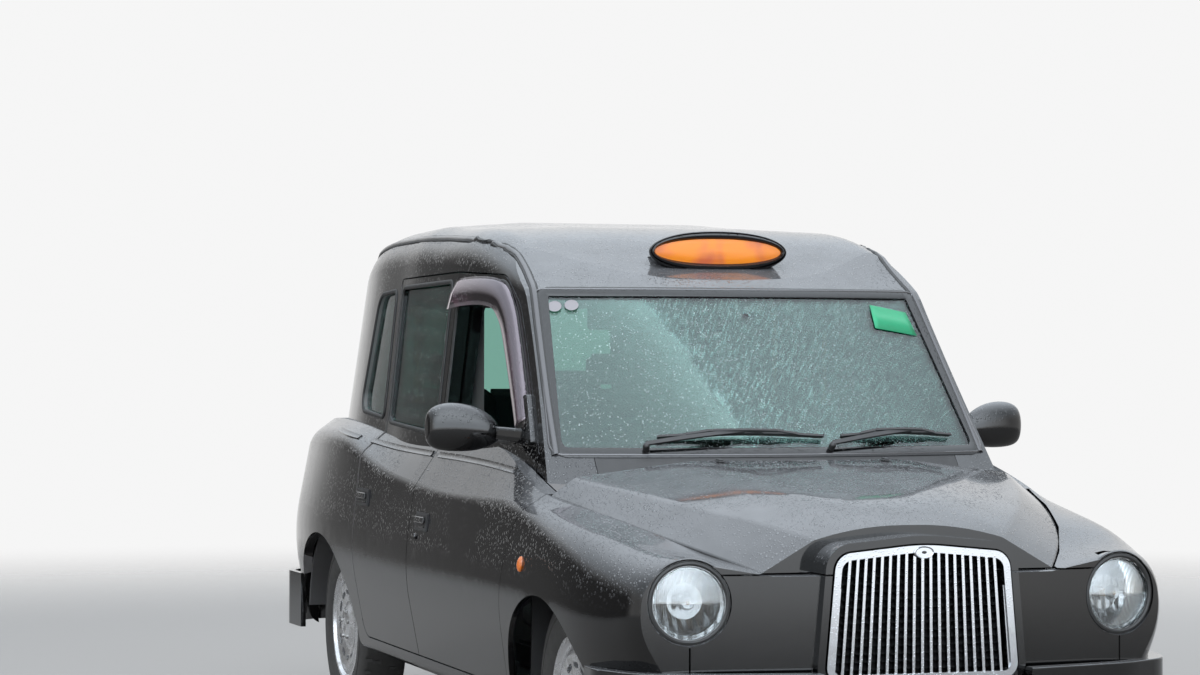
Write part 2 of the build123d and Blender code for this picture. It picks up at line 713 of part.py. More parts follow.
# Scuttle: wall between engine bay and cabin, and the cowl below the windscreen
with BuildPart() as scuttle:
    add(screen_block(0))
    add(screen_block(26), mode=Mode.SUBTRACT)
    add(box((-598, -1400, 925), (598, -1000, 1060)), mode=Mode.INTERSECT)
    add(box((-598, -1262, 984), (598, -1240, 1000)))
    add(box((-598, -1200, 860), (598, -1186, 1000)))
    add(box((-745, -1200, 716), (745, -1186, 880)))
    add(box((-745, -1200, 716), (745, -1098, 730)))
    add(box((-360, -1200, 324), (360, -1186, 730)))
    for side in (-1, 1):
        with Locations((side * 354, -1149, 527)):
            Box(12, 102, 406)
        with Locations((side * 574, -1104, 527)):
            Box(440, 12, 406)

# Steering column, and the dashboard round it
column_foot = Vector(driver_x, -1000, 812)
wheel_centre = Vector(driver_x, -690, 987)
column_axis = (wheel_centre - column_foot).normalized()
steering_column = tube([column_foot, wheel_centre - column_axis * 24], 0, 26)
dashboard_profile = [(-1180, 760), (-1180, 1010), (-1010, 1035), (-900, 985), (-930, 760)]
with BuildPart() as dashboard:
    add(side_block(dashboard_profile, [20, 20, 60, 40, 40], -685, 685))
    for side in (-1, 1):
        with Locations((side * 690, -1160, 920)):
            Box(200, 80, 60, mode=Mode.SUBTRACT)
    add(screen_block(60), mode=Mode.INTERSECT)
    add(steering_column, mode=Mode.SUBTRACT)

with BuildPart(Plane(origin=wheel_centre, x_dir=(1, 0, 0), z_dir=column_axis)) as steering_wheel:
    Torus(steering_wheel_radius, 14)
    Cylinder(52, 26)
    with PolarLocations(steering_wheel_radius / 2, 3, 90):
        Box(steering_wheel_radius, 30, 12)

# Seats and the rear bench
with BuildPart() as driver_seat:
    with BuildSketch(Plane.YZ.offset(driver_x - 240)):
        with BuildLine():
            FilletPolyline(
                (-640, 400), (-640, 560), (-260, 530), (-140, 1160), (-60, 1160), (-110, 400),
                radius=[40, 50, 70, 40, 40, 30], close=True,
            )
        make_face()
    extrude(amount=480)
    with Locations((driver_x, -98, 1236)):
        Box(250, 80, 170)
    with Locations((driver_x, -375, 361)):
        Box(420, 420, 78)
    fillet(driver_seat.edges().filter_by(Axis.Z).filter_by_position(Axis.Z, 1180, 1300), 25)

with BuildPart() as rear_bench:
    with BuildSketch(Plane.YZ.offset(-560)):
        with BuildLine():
            FilletPolyline(
                (1010, 560), (1010, 740), (1400, 710), (1520, 1250), (1620, 1250), (1560, 560),
                radius=[40, 50, 70, 50, 40, 20], close=True,
            )
        make_face()
    extrude(amount=1120)
    with Locations((-330, 1580, 1300), (330, 1580, 1300)):
        Box(230, 70, 150)

with BuildPart() as tip_up_seats:
    with Locations((-330, 92, 700), (330, 92, 700)):
        Box(440, 88, 460)
    fillet(tip_up_seats.edges().filter_by(Axis.X), 20)

# Mirrors: pod, arm and sail base on the front door
mirror_sections = [
    (796, -742, 1112, 44, 40), (830, -740, 1122, 76, 104), (900, -728, 1130, 96, 148),
    (970, -716, 1132, 92, 146), (1006, -708, 1130, 70, 116), (mirror_tip_x, -700, 1128, 34, 60),
]
sail_outline = [(-966, 1080), (-846, 1236), (-818, 1232), (-806, 1132), (-756, 1080)]
sail_plate = cabin_block(-sail_thickness) & side_block(sail_outline, [10, 12, 14, 50, 12], 500, 1000)
with BuildPart() as mirror_left:
    for x, y, z, depth, height in mirror_sections:
        with BuildSketch(Plane.YZ.offset(x)):
            with Locations((y, z)):
                Ellipse(depth / 2, height / 2)
    loft()
    with BuildSketch(Plane.YZ.offset(735)):
        with Locations((-850, 1106)):
            RectangleRounded(90, 44, 15)
    with BuildSketch(Plane.YZ.offset(812)):
        with Locations((-752, 1114)):
            RectangleRounded(56, 40, 15)
    loft()
    add(sail_plate)
    add(shell_outer, mode=Mode.SUBTRACT)

# Wipers, parked along the foot of the windscreen
def screen_point(x, z, lift):
    """Point lift in front of the windscreen surface."""
    y = screen_foot_y + screen_slope * (z - screen_foot_z) + screen_radius - sqrt(screen_radius**2 - x**2)
    return (x, y - lift, z)


with BuildPart() as wipers:
    for pivot_x, arm_x, blade_low_x, blade_high_x in [(-440, -130, -400, 130), (150, 440, 190, 620)]:
        blade_mid_x = (blade_low_x + blade_high_x) / 2
        add(tube([screen_point(pivot_x, 1066, 13), screen_point(pivot_x, 1074, 32)], 0, 11))
        add(tube([screen_point(pivot_x, 1074, 27), screen_point(arm_x, 1112, 27)], 0, 6))
        add(tube(
            [screen_point(blade_low_x, 1102, 17), screen_point(blade_mid_x, 1110, 20),
             screen_point(blade_high_x, 1102, 17)], 600, 7,
        ))

# Roof sign: a long eye-shaped housing and its lit lens
with BuildPart() as sign_housing:
    with BuildSketch(Plane.XZ.offset(-(sign_y - 45))):
        with BuildLine():
            ThreePointArc((-sign_half, sign_z - 8), (0, sign_z + 48), (sign_half, sign_z - 8))
            ThreePointArc((sign_half, sign_z - 8), (0, sign_z - 82), (-sign_half, sign_z - 8))
        make_face()
    extrude(amount=-120)
    with BuildSketch(Plane.XZ.offset(-(sign_y - 46))):
        with BuildLine():
            ThreePointArc((12 - sign_half, sign_z - 6), (0, sign_z + 38), (sign_half - 12, sign_z - 6))
            ThreePointArc((sign_half - 12, sign_z - 6), (0, sign_z - 44), (12 - sign_half, sign_z - 6))
        make_face()
    extrude(amount=-12, mode=Mode.SUBTRACT)
    add(cabin_outer, mode=Mode.SUBTRACT)
with BuildPart() as sign_lens:
    with BuildSketch(Plane.XZ.offset(-(sign_y - 50))):
        with BuildLine():
            ThreePointArc((12 - sign_half, sign_z - 6), (0, sign_z + 38), (sign_half - 12, sign_z - 6))
            ThreePointArc((sign_half - 12, sign_z - 6), (0, sign_z - 44), (12 - sign_half, sign_z - 6))
        make_face()
    extrude(amount=-16)
    add(cabin_outer, mode=Mode.SUBTRACT)

# Chassis: two rails that rise over the rear axle, with cross members and a towing eye socket
rail_profile = [
    (-2120, 215), (-2120, 292), (1010, 292), (1190, 505), (2130, 505), (2130, 430), (1220, 430), (1045, 215),
]
with BuildPart() as chassis_frame:
    for side in (-1, 1):
        add(side_block(rail_profile, [0, 0, 60, 90, 0, 0, 60, 60], side * 310 - 32, side * 310 + 32))
    for y, z in [(-2090, 254), (-1150, 254), (-200, 254), (850, 254), (1900, 467)]:
        with Locations((0, y, z)):
            Box(560, 60, 62)
    for side in (-1, 1):
        add(box((side * 415 - 85, 1046, 326), (side * 415 + 85, 1074, 352)))
        add(box((side * 400 - 90, 1668, 366), (side * 400 + 90, 1696, 450)))
    with Locations((tow_eye_x, -2165, tow_eye_z)):
        Cylinder(22, 100, rotation=(90, 0, 0))
    with BuildSketch(Plane.XZ.offset(2215)):
        with Locations((tow_eye_x, tow_eye_z)):
            Circle(tow_thread_radius)
    extrude(amount=-60, mode=Mode.SUBTRACT)

engine_block = Part() + fillet(box((-215, -1960, 380), (215, -1380, 830)).edges(), 30)

with BuildPart() as exhaust:
    add(tube([(-200, -1300, 190), (-200, 1180, 190), (-420, 2215, 235)], 300, 22))
    with Locations((-200, 320, 226)):
        Cylinder(60, 560, rotation=(90, 0, 0))

# Front suspension: lower arms, upper arms and the cross tube that carries them
with BuildPart() as front_suspension:
    for side in (-1, 1):
        for reach in (-150, 150):
            add(tube([(side * 355, front_axle_y + reach, 250), (side * 596, front_axle_y, 214)], 0, 17))
        with Locations((side * 600, front_axle_y, 208)):
            Cylinder(26, 30)
        with Locations((side * 600, front_axle_y, 480)):
            Cylinder(22, 26)
        add(tube([(side * 345, front_axle_y, 500), (side * 600, front_axle_y, 482)], 0, 15))
    with Locations((0, front_axle_y, 322)):
        Box(700, 90, 60)
    for side in (-1, 1):
        with Locations((side * 341, front_axle_y, 401)):
            Box(18, 90, 218)
        with Locations((side * 347, front_axle_y, 256)):
            Box(8, 340, 72)

spring_profile = [
    (1040, 366), (1080, 366), (1371, 392), (1662, 366), (1702, 366),
    (1702, 352), (1662, 352), (1371, 372), (1080, 352), (1040, 352),
]
with BuildPart() as rear_axle:
    with Locations((0, rear_axle_y, axle_z)):
        Cylinder(38, 1130, rotation=(0, 90, 0))
        Cylinder(112, 150, rotation=(0, 90, 0))
        Cylinder(stub_radius, 2 * track_half + 40, rotation=(0, 90, 0))
    for side in (-1, 1):
        add(side_block(spring_profile, 0, side * 460 - 30, side * 460 + 30))

# Knuckle: upright between the arms, stub axle and steering arm
with BuildPart() as knuckle_left:
    with Locations((kingpin_x - 17, front_axle_y, 348)):
        Cylinder(20, 224)
    with Locations((kingpin_x - 8, front_axle_y, axle_z)):
        Cylinder(55, 22, rotation=(0, 90, 0))
    with Locations((kingpin_x + 60, front_axle_y, axle_z)):
        Cylinder(stub_radius, 150, rotation=(0, 90, 0))
    with Locations((kingpin_x - 35, front_axle_y + 70, 300)):
        Box(26, 150, 24)

# Wheels: tyre, and a rim with its domed, slotted trim
half_tyre = tyre_width / 2
tyre_sides = 64
# Across the tyre and outward, round its section
tyre_section = [
    (-half_tyre + 22, rim_radius + 2), (-half_tyre, 278), (-half_tyre + 20, tyre_radius),
    (half_tyre - 20, tyre_radius), (half_tyre, 278), (half_tyre - 22, rim_radius + 2),
    (half_tyre - 22, rim_radius - 4), (-half_tyre + 22, rim_radius - 4),
]


def tyre_corner(place, step):
    x, radius = place
    angle = radians(360 / tyre_sides * step)
    return (x, radius * cos(angle), radius * sin(angle))


tyre_faces = []
for step in range(tyre_sides):
    for place, after in zip(tyre_section, tyre_section[1:] + tyre_section[:1]):
        corners = [(place, step), (after, step), (after, step + 1), (place, step + 1)]
        outline = [tyre_corner(*corner) for corner in corners]
        tyre_faces.append(Face(Wire.make_polygon(outline)))
tyre = Solid(Shell(tyre_faces))
rim_profile = [
    (-74, rim_radius + 6), (-80, rim_radius + 6), (-80, rim_radius - 8), (-60, 186), (36, 178),
    (54, 152), (38, 58), (-46, 46), (-46, stub_radius + 0.6), (44, stub_radius + 0.6), (44, 0),
    (76, 0), (80, 28), (76, 60), (62, 88), (74, 156), (65, 186), (78, rim_radius - 6),
    (78, rim_radius + 6), (72, rim_radius + 6), (68, rim_radius - 4.5), (-70, rim_radius - 4.5),
]
rim_radii = [0, 0, 0, 0, 0, 0, 0, 0, 0, 0, 0, 0, 12, 12, 12, 14, 6, 0, 0, 0, 0, 0]
with BuildPart() as wheel_solid:
    add(turned(rim_profile, rim_radii))
    with BuildSketch(Plane.YZ.offset(45)):
        with PolarLocations(124, trim_slots):
            SlotOverall(46, 17, rotation=90)
    extrude(amount=60, mode=Mode.SUBTRACT)
wheel = wheel_solid.part

wheel_places = {
    "front_left": (1, front_axle_y), "front_right": (-1, front_axle_y),
    "rear_left": (1, rear_axle_y), "rear_right": (-1, rear_axle_y),
}
for place, (side, y) in wheel_places.items():
    turn = Rot(0, 0, 0 if side > 0 else 180)
    here = Pos(side * track_half, y, axle_z)
    save(here * turn * tyre, f"tyre_{place}")
    save(here * turn * wheel, f"wheel_{place}")

# Pieces made as a left-hand one, with its mirror image on the right
for name, piece in {
    "door_front": door_front_left.part, "door_rear": door_rear_left.part,
    "door_glass_rear": door_glass_rear_left,
    "side_frame": side_frame_with_post, "front_wing": front_wing_left.part,
    "mirror": mirror_left.part, "knuckle": knuckle_left.part,
}.items():
    save(piece, f"{name}_left")
    save(mirror(piece, about=Plane.YZ), f"{name}_right")

save(door_glass_front_left, "door_glass_front_left")
save(door_glass_front_right, "door_glass_front_right")

# Pairs that sit on the body as one sub-part
for name, piece in {
    "quarter_glasses": quarter_glass_left, "inner_wings": inner_wing_left.part,
    "headlamp_bowls": lamp_bowl_left, "headlamp_lenses": lamp_glass_left, "tail_lamps": tail_lamp_left.part,
}.items():
    save(both_sides(piece), name)

for name, piece in {
    "roof_panel": roof_panel.part, "windscreen": windscreen.part, "rear_window": rear_window.part,
    "rear_panel": rear_panel.part, "boot_lid": boot_lid.part, "bonnet": bonnet.part,
    "front_panel": front_panel.part, "grille": grille.part, "radiator": radiator,
    "front_bumper": front_bumper.part, "rear_bumper": rear_bumper.part, "partition": partition.part,
    "floor_pan": floor_pan.part, "scuttle": scuttle.part, "dashboard": dashboard.part,
    "steering_column": steering_column, "steering_wheel": steering_wheel.part,
    "driver_seat": driver_seat.part, "rear_bench": rear_bench.part, "tip_up_seats": tip_up_seats.part,
    "wipers": wipers.part, "sign_housing": sign_housing.part, "sign_lens": sign_lens.part,
    "chassis_frame": chassis_frame.part, "engine_block": engine_block, "exhaust": exhaust.part,
    "front_suspension": front_suspension.part, "rear_axle": rear_axle.part,
}.items():
    save(piece, name)
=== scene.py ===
from math import copysign, cos, pi, radians, sin, sqrt, tan

import bmesh
import bpy
from mathutils import Matrix, Vector
from mathutils.bvhtree import BVHTree


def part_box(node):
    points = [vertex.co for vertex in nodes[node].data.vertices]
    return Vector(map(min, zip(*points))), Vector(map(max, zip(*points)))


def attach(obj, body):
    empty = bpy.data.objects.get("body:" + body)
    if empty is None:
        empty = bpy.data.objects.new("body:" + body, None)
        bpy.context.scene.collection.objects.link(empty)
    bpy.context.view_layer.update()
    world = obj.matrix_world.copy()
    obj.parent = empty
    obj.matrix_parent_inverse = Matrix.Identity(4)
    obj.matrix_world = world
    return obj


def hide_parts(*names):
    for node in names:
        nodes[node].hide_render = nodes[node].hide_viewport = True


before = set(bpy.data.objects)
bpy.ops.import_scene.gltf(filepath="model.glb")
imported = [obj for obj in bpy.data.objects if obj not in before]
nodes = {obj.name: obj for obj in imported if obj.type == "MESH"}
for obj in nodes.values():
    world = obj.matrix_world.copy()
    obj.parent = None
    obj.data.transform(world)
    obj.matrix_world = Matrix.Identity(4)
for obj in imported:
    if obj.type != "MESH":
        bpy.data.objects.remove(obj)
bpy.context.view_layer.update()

# Places on the cab, in metres. The front faces -Y and +X is its left.
FRONT_AXLE_Y = -1.515
REAR_AXLE_Y = 1.371
AXLE_Z = 0.334
TRACK_HALF = 0.712
TYRE_RADIUS = 0.334
DRIVER_X = -0.36
LAMP_PLACE = Vector((0.651, -2.132, 0.681))
LAMP_TURN = radians(9)
LAMP_RADIUS = 0.1
LAMP_HOLE = 0.118
GRILLE_Y = -2.236
SIGN_Y = -0.52
SIGN_MIDDLE = 1.697
SCREEN_FOOT_Y = -1.205
SCREEN_FOOT_Z = 1.053
SCREEN_SLOPE = 0.85
SCREEN_RADIUS = 1.935
WHEELS = {
    "front_left": (1, FRONT_AXLE_Y), "front_right": (-1, FRONT_AXLE_Y),
    "rear_left": (1, REAR_AXLE_Y), "rear_right": (-1, REAR_AXLE_Y),
}
SIDES = {"left": 1, "right": -1}

# The photograph's camera, and its frame in pixels
PHOTO_WIDTH = 1200
PHOTO_HEIGHT = 675
PHOTO_FOCAL = 3121.6
CAMERA_PLACE = Vector((-3.502, -10.178, 1.361))
CAMERA_AZIMUTH = radians(-17.867)
CAMERA_RISE = radians(-0.308)
CAMERA_ROLL = radians(0.144)
SENSOR = 36.0


# Shader maths
def maths(operation, swapped=False):
    """Method of Value that adds a Math node."""
    def method(self, other=0.0):
        terms = {0: other, 1: self} if swapped else {0: self, 1: other}
        return self.finish.node("Math", {"operation": operation}, terms)
    return method


class Value:
    """A socket's output, so that shader maths reads as Python."""

    def __init__(self, finish, socket):
        self.finish = finish
        self.socket = socket

    __add__ = __radd__ = maths("ADD")
    __mul__ = __rmul__ = maths("MULTIPLY")
    __rsub__ = maths("SUBTRACT", True)
    __truediv__ = maths("DIVIDE")
    __pow__ = maths("POWER")
    least = maths("MINIMUM")
    most = maths("MAXIMUM")
    above = maths("GREATER_THAN")
    wave = maths("SINE")


def rgba(colour):
    return (*colour, 1.0)


class Nodes:
    """A shader's nodes: node() adds one and feed() fills a socket."""

    def __init__(self, tree):
        self.tree = tree

    def node(self, kind, settings=None, sockets=None, output=0):
        made = self.tree.nodes.new("ShaderNode" + kind)
        for name, value in (settings or {}).items():
            setattr(made, name, value)
        for name, value in (sockets or {}).items():
            self.feed(made.inputs[name], value)
        return Value(self, made.outputs[output])

    def feed(self, socket, value):
        if isinstance(value, Value):
            self.tree.links.new(value.socket, socket)
        else:
            socket.default_value = value

    def blend(self, share, one, two):
        """Colour one where share is 0, and two where it is 1."""
        return self.node("Mix", {"data_type": "RGBA"}, {0: share, 6: rgba(one), 7: rgba(two)}, 2)

    def ramp(self, value, low, high):
        """0 below low and 1 above high."""
        sockets = {"Value": value, "From Min": low, "From Max": high}
        return self.node("MapRange", {"interpolation_type": "SMOOTHSTEP"}, sockets)


class Finish(Nodes):
    """One material, whose Principled shader is fed by set()."""

    def __init__(self, name, colour, roughness, **constants):
        self.material = bpy.data.materials.new(name)
        self.material.use_nodes = True
        super().__init__(self.material.node_tree)
        self.shader = self.tree.nodes["Principled BSDF"]
        self.set("Base Color", rgba(colour))
        self.set("Roughness", roughness)
        for socket, value in constants.items():
            self.set(socket.replace("_", " "), value)

    def set(self, name, value):
        self.feed(self.shader.inputs[name], value)

    def place(self, output="Object"):
        return self.node("TexCoord", output=output)

    def along(self, axis, output="Object"):
        return self.node("SeparateXYZ", None, {"Vector": self.place(output)}, axis)

    def grain(self, scale, detail=2.0, rough=0.5):
        """Soft noise, about 0.5, with features of 1 / scale metres."""
        sockets = {"Vector": self.place(), "Scale": scale, "Detail": detail, "Roughness": rough}
        return self.node("TexNoise", None, sockets)

    def cells(self, scale, output="Distance"):
        sockets = {"Vector": self.place(), "Scale": scale}
        return self.node("TexVoronoi", None, sockets, output)

    def bump(self, height, depth, strength=1.0):
        """Feeds the Normal socket with a height field, depth metres high."""
        sockets = {"Height": height, "Distance": depth, "Strength": strength}
        self.set("Normal", self.node("Bump", None, sockets))

    def clear_where_dim(self, tint, mirror):
        """Shows a clear, tinted layer where the mirror's share is low."""
        clear = self.node("BsdfTransparent", None, {"Color": rgba(tint)})
        both = self.node("MixShader", None, {0: mirror, 1: clear, 2: Value(self, self.shader.outputs[0])})
        self.feed(self.tree.nodes["Material Output"].inputs["Surface"], both)


def drops(finish, spacing, least_rise, share=0.62):
    """Height of standing raindrops: round caps of random size, thickest on faces that look up."""
    seed = finish.node("SeparateXYZ", None, {"Vector": finish.cells(1 / spacing, "Color")}, 0)
    radius = 0.12 + 0.3 * seed
    cap = (1 - (finish.cells(1 / spacing) / radius) ** 2.0).most(0.0) ** 0.5
    wet = finish.ramp(finish.grain(3.0), 0.3, 0.52)
    rise = finish.ramp(finish.along(2, "Normal"), least_rise, least_rise + 0.45)
    return cap * wet * rise * seed.above(1 - share)


DRY_PAINT = (0.0045, 0.0045, 0.005)
# Painted reflection of the sky: the colour the black paint takes where it looks up and on its raindrops.
SKY_SHEEN_PAINT = (0.225, 0.245, 0.275)


def make_body_paint():
    """Black paint with a painted sky reflection: its base colour pales on faces that look up and on
    raindrops, and rain makes its gloss uneven.
    """
    paint = Finish("body_paint", DRY_PAINT, 0.06)
    beads = drops(paint, 0.0120, 0.02, 0.75)
    fine = drops(paint, 0.0060, 0.10, 0.85)
    film_and_sheen = paint.grain(9.0, 4.0)
    upward = paint.ramp(paint.along(2, "Normal"), 0.25, 0.98)
    # Painted sky reflection and glints: raindrops and upward faces get a paler base colour, more so in
    # patches of the noise.
    pale = (beads * 0.5 + fine * 0.4 + upward * (0.35 + 0.5 * film_and_sheen)).least(1.0)
    paint.set("Base Color", paint.blend(pale, DRY_PAINT, SKY_SHEEN_PAINT))
    paint.set("Roughness", 0.035 + 0.05 * film_and_sheen + 0.10 * fine)
    paint.bump(beads + 0.45 * fine, 0.0026, 1.0)
    return paint.material


def make_gloss_black():
    cover = Finish("gloss_black", (0.006, 0.006, 0.007), 0.08)
    cover.set("Roughness", 0.05 + 0.10 * cover.grain(14.0, 3.0))
    cover.bump(drops(cover, 0.008, -0.2), 0.0014, 0.9)
    return cover.material


def make_moulded(name, colour, dull, mottle, pores, strength):
    """Moulded plastic with fine pores; dull is its least roughness."""
    plastic = Finish(name, colour, dull)
    plastic.set("Roughness", dull + 0.2 * plastic.grain(mottle))
    plastic.bump(plastic.cells(pores), 0.0003, strength)
    return plastic.material


def make_rubber():
    rubber = Finish("rubber_seal", (0.010, 0.010, 0.010), 0.55)
    rubber.set("Roughness", 0.45 + 0.25 * rubber.grain(60.0, 3.0))
    rubber.bump(rubber.grain(420.0), 0.0002, 0.5)
    return rubber.material


def make_chrome():
    chrome = Finish("chrome_plate", (0.38, 0.39, 0.405), 0.06, Metallic=1.0)
    chrome.set("Roughness", 0.04 + 0.12 * chrome.grain(25.0, 4.0))
    chrome.bump(drops(chrome, 0.006, -0.6), 0.0006, 0.35)
    return chrome.material


def make_glass(name, tint, haze=0.0, wet=0.0, fluted=False):
    """Thin glass: a clear, tinted layer under a mirror that grows at a slant, with rain on it."""
    glass = Finish(name, (0.92, 0.95, 0.96), 0.03, Metallic=1.0)
    share = glass.node("Fresnel", None, {"IOR": 1.5})
    mirror = share * 0.95 + haze
    if wet:
        beads = drops(glass, 0.008, -0.4, wet)
        glass.bump(beads, 0.0014, 0.9)
        mirror = mirror + 0.10 * beads
    if fluted:
        ribs = (glass.along(0) * 1250.0).wave() * 0.5 + 0.5
        glass.bump(ribs, 0.0005, 0.8)
        mirror = mirror + 0.10 * ribs
    glass.clear_where_dim(tint, mirror)
    return glass.material


def make_reflector():
    bowl = Finish("lamp_reflector", (0.26, 0.265, 0.27), 0.16, Metallic=1.0)
    bowl.bump((bowl.along(0) * 230.0).wave() * 0.5 + 0.5, 0.0022, 0.6)
    return bowl.material


def make_lit(name, low, high, glow):
    """Lit plastic with brighter patches."""
    panel = Finish(name, high, 0.25, Emission_Strength=glow)
    shade = panel.blend(panel.ramp(panel.grain(9.0), 0.32, 0.62), low, high)
    panel.set("Emission Color", shade)
    panel.set("Base Color", shade)
    return panel.material


def make_lens(name, colour):
    """Moulded lamp lens with small square prisms."""
    lens = Finish(name, colour, 0.12, Coat_Weight=0.5)
    prisms = (lens.along(0) * 700.0).wave() * (lens.along(2) * 700.0).wave()
    lens.bump(prisms, 0.0008, 0.5)
    return lens.material


def make_tyre():
    tyre = Finish("tyre_rubber", (0.022, 0.022, 0.023), 0.72)
    dust = tyre.grain(18.0, 5.0, 0.6)
    tyre.set("Base Color", tyre.blend(dust, (0.016, 0.016, 0.017), (0.045, 0.043, 0.040)))
    tyre.set("Roughness", 0.6 + 0.25 * tyre.grain(45.0))
    tyre.bump(tyre.grain(260.0, 3.0), 0.0006, 0.5)
    return tyre.material


def make_wheel_silver():
    silver = Finish("wheel_silver", (0.52, 0.53, 0.55), 0.3, Metallic=0.75, Coat_Weight=0.4)
    dirt = silver.ramp(silver.grain(22.0, 5.0, 0.65), 0.48, 0.75)
    silver.set("Base Color", silver.blend(dirt, (0.56, 0.57, 0.59), (0.27, 0.26, 0.245)))
    silver.set("Roughness", 0.26 + 0.3 * dirt)
    silver.bump(silver.grain(900.0), 0.0001, 0.3)
    return silver.material


def make_metal(name, colour, roughness, scale, metallic=1.0, depth=0.0004):
    metal = Finish(name, colour, roughness, Metallic=metallic)
    mottle = metal.grain(scale, 5.0, 0.6)
    darker = tuple(0.6 * part for part in colour)
    metal.set("Base Color", metal.blend(mottle, darker, colour))
    metal.set("Roughness", roughness - 0.1 + 0.25 * mottle)
    metal.bump(mottle, depth, 0.6)
    return metal.material


def make_cloth(name, dark, light, pitch=0.0028):
    """Woven seat cloth: threads both ways and a slow change of shade."""
    cloth = Finish(name, dark, 0.9, Sheen_Weight=0.35, Sheen_Roughness=0.5)
    turn = 2 * pi / pitch
    warp = (cloth.along(0) * turn).wave()
    weft = ((cloth.along(1) + cloth.along(2)) * turn).wave()
    weave = warp * weft * 0.5 + 0.5
    cloth.set("Base Color", cloth.blend(weave * 0.6 + cloth.grain(6.0, 4.0) * 0.4, dark, light))
    cloth.bump(weave, 0.0006, 0.6)
    return cloth.material


def make_smoked():
    smoke = Finish("smoked_plastic", (0.62, 0.55, 0.60), 0.06, Metallic=1.0)
    smoke.bump(drops(smoke, 0.007, -0.4, 0.5), 0.0012, 0.9)
    smoke.clear_where_dim((0.40, 0.30, 0.35), smoke.node("Fresnel", None, {"IOR": 1.49}) + 0.16)
    return smoke.material


def make_plain(name, colour, roughness):
    """Painted or printed surface with a faint mottle."""
    plain = Finish(name, colour, roughness)
    mottle = plain.grain(35.0, 3.0)
    pale = tuple(min(1.0, 1.12 * part) for part in colour)
    plain.set("Base Color", plain.blend(mottle, colour, pale))
    plain.set("Roughness", roughness - 0.06 + 0.12 * mottle)
    return plain.material


PAINT = make_body_paint()
GLOSS_BLACK = make_gloss_black()
GRAINED = make_moulded("grained_black", (0.018, 0.018, 0.019), 0.42, 30.0, 900.0, 0.6)
RUBBER = make_rubber()
CHROME = make_chrome()
BEAD = Finish("trim_bead", (0.10, 0.10, 0.105), 0.22, Metallic=0.5).material
SCREEN_GLASS = make_glass("screen_glass", (0.46, 0.58, 0.54), wet=0.35)
SIDE_GLASS = make_glass("side_glass", (0.46, 0.66, 0.60), wet=0.3)
LAMP_GLASS = make_glass("lamp_glass", (0.95, 0.96, 0.96), 0.01, fluted=True)
REFLECTOR = make_reflector()
SIGN_LIGHT = make_lit("sign_light", (0.60, 0.13, 0.05), (0.90, 0.27, 0.012), 0.30)
RED_LENS = make_lens("red_lens", (0.36, 0.008, 0.008))
AMBER_LENS = make_lens("amber_lens", (0.85, 0.20, 0.01))
TYRE = make_tyre()
WHEEL_SILVER = make_wheel_silver()
CHASSIS = make_metal("chassis_black", (0.030, 0.030, 0.031), 0.5, 14.0, 0.0)
STEEL = make_metal("bare_steel", (0.42, 0.41, 0.40), 0.45, 30.0)
CAST_IRON = make_metal("cast_iron", (0.15, 0.145, 0.14), 0.6, 80.0, 0.7, 0.0012)
CABIN_GRAIN = (0.5, 40.0, 620.0, 0.5)
DARK_TRIM = make_moulded("cabin_dark", (0.035, 0.036, 0.039), *CABIN_GRAIN)
GREY_TRIM = make_moulded("cabin_grey", (0.16, 0.16, 0.165), *CABIN_GRAIN)
LINING = make_cloth("roof_lining", (0.30, 0.30, 0.29), (0.40, 0.40, 0.39), 0.004)
SEAT_CLOTH = make_cloth("seat_cloth", (0.030, 0.032, 0.038), (0.085, 0.09, 0.105))
FLOOR_MAT = make_moulded("floor_mat", (0.06, 0.06, 0.062), *CABIN_GRAIN)
SMOKED = make_smoked()
PLATE_WHITE = make_plain("plate_white", (0.70, 0.70, 0.68), 0.35)
PLATE_YELLOW = make_plain("plate_yellow", (0.80, 0.55, 0.03), 0.35)
TAG_GREEN = make_plain("tag_green", (0.02, 0.42, 0.20), 0.4)
DISC_PAPER = make_plain("disc_paper", (0.34, 0.34, 0.38), 0.5)
BULB = make_plain("bulb_glass", (0.45, 0.33, 0.22), 0.2)
HANDLE_YELLOW = make_plain("grab_yellow", (0.75, 0.50, 0.04), 0.5)


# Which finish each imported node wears
NODE_FINISH = {
    "windscreen": SCREEN_GLASS, "rear_window": SIDE_GLASS, "quarter_glasses": SIDE_GLASS,
    "grille": CHROME, "radiator": GRAINED, "headlamp_bowls": REFLECTOR, "headlamp_lenses": LAMP_GLASS,
    "tail_lamps": RED_LENS, "sign_housing": GLOSS_BLACK, "sign_lens": SIGN_LIGHT, "scuttle": GRAINED,
    "dashboard": DARK_TRIM, "steering_column": DARK_TRIM, "partition": GREY_TRIM, "floor_pan": FLOOR_MAT,
    "inner_wings": CHASSIS, "chassis_frame": CHASSIS, "engine_block": CAST_IRON,
    "front_suspension": CHASSIS, "rear_axle": CHASSIS, "exhaust": STEEL,
    "knuckle_left": STEEL, "knuckle_right": STEEL,
}
for side in SIDES:
    NODE_FINISH["door_glass_front_" + side] = SIDE_GLASS
    NODE_FINISH["door_glass_rear_" + side] = SIDE_GLASS
for place in WHEELS:
    NODE_FINISH["wheel_" + place] = WHEEL_SILVER
    NODE_FINISH["tyre_" + place] = TYRE
SMOOTH_ANGLE = radians(32)


def dress_nodes():
    """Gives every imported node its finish, and smooth shading across its facets."""
    for name, node in nodes.items():
        node.data.materials.clear()
        node.data.materials.append(NODE_FINISH.get(name, PAINT))
        node.data.shade_smooth()
        node.data.set_sharp_from_angle(angle=SMOOTH_ANGLE)


CABIN_MIDDLE = Vector((0, 0.3, 1.2))


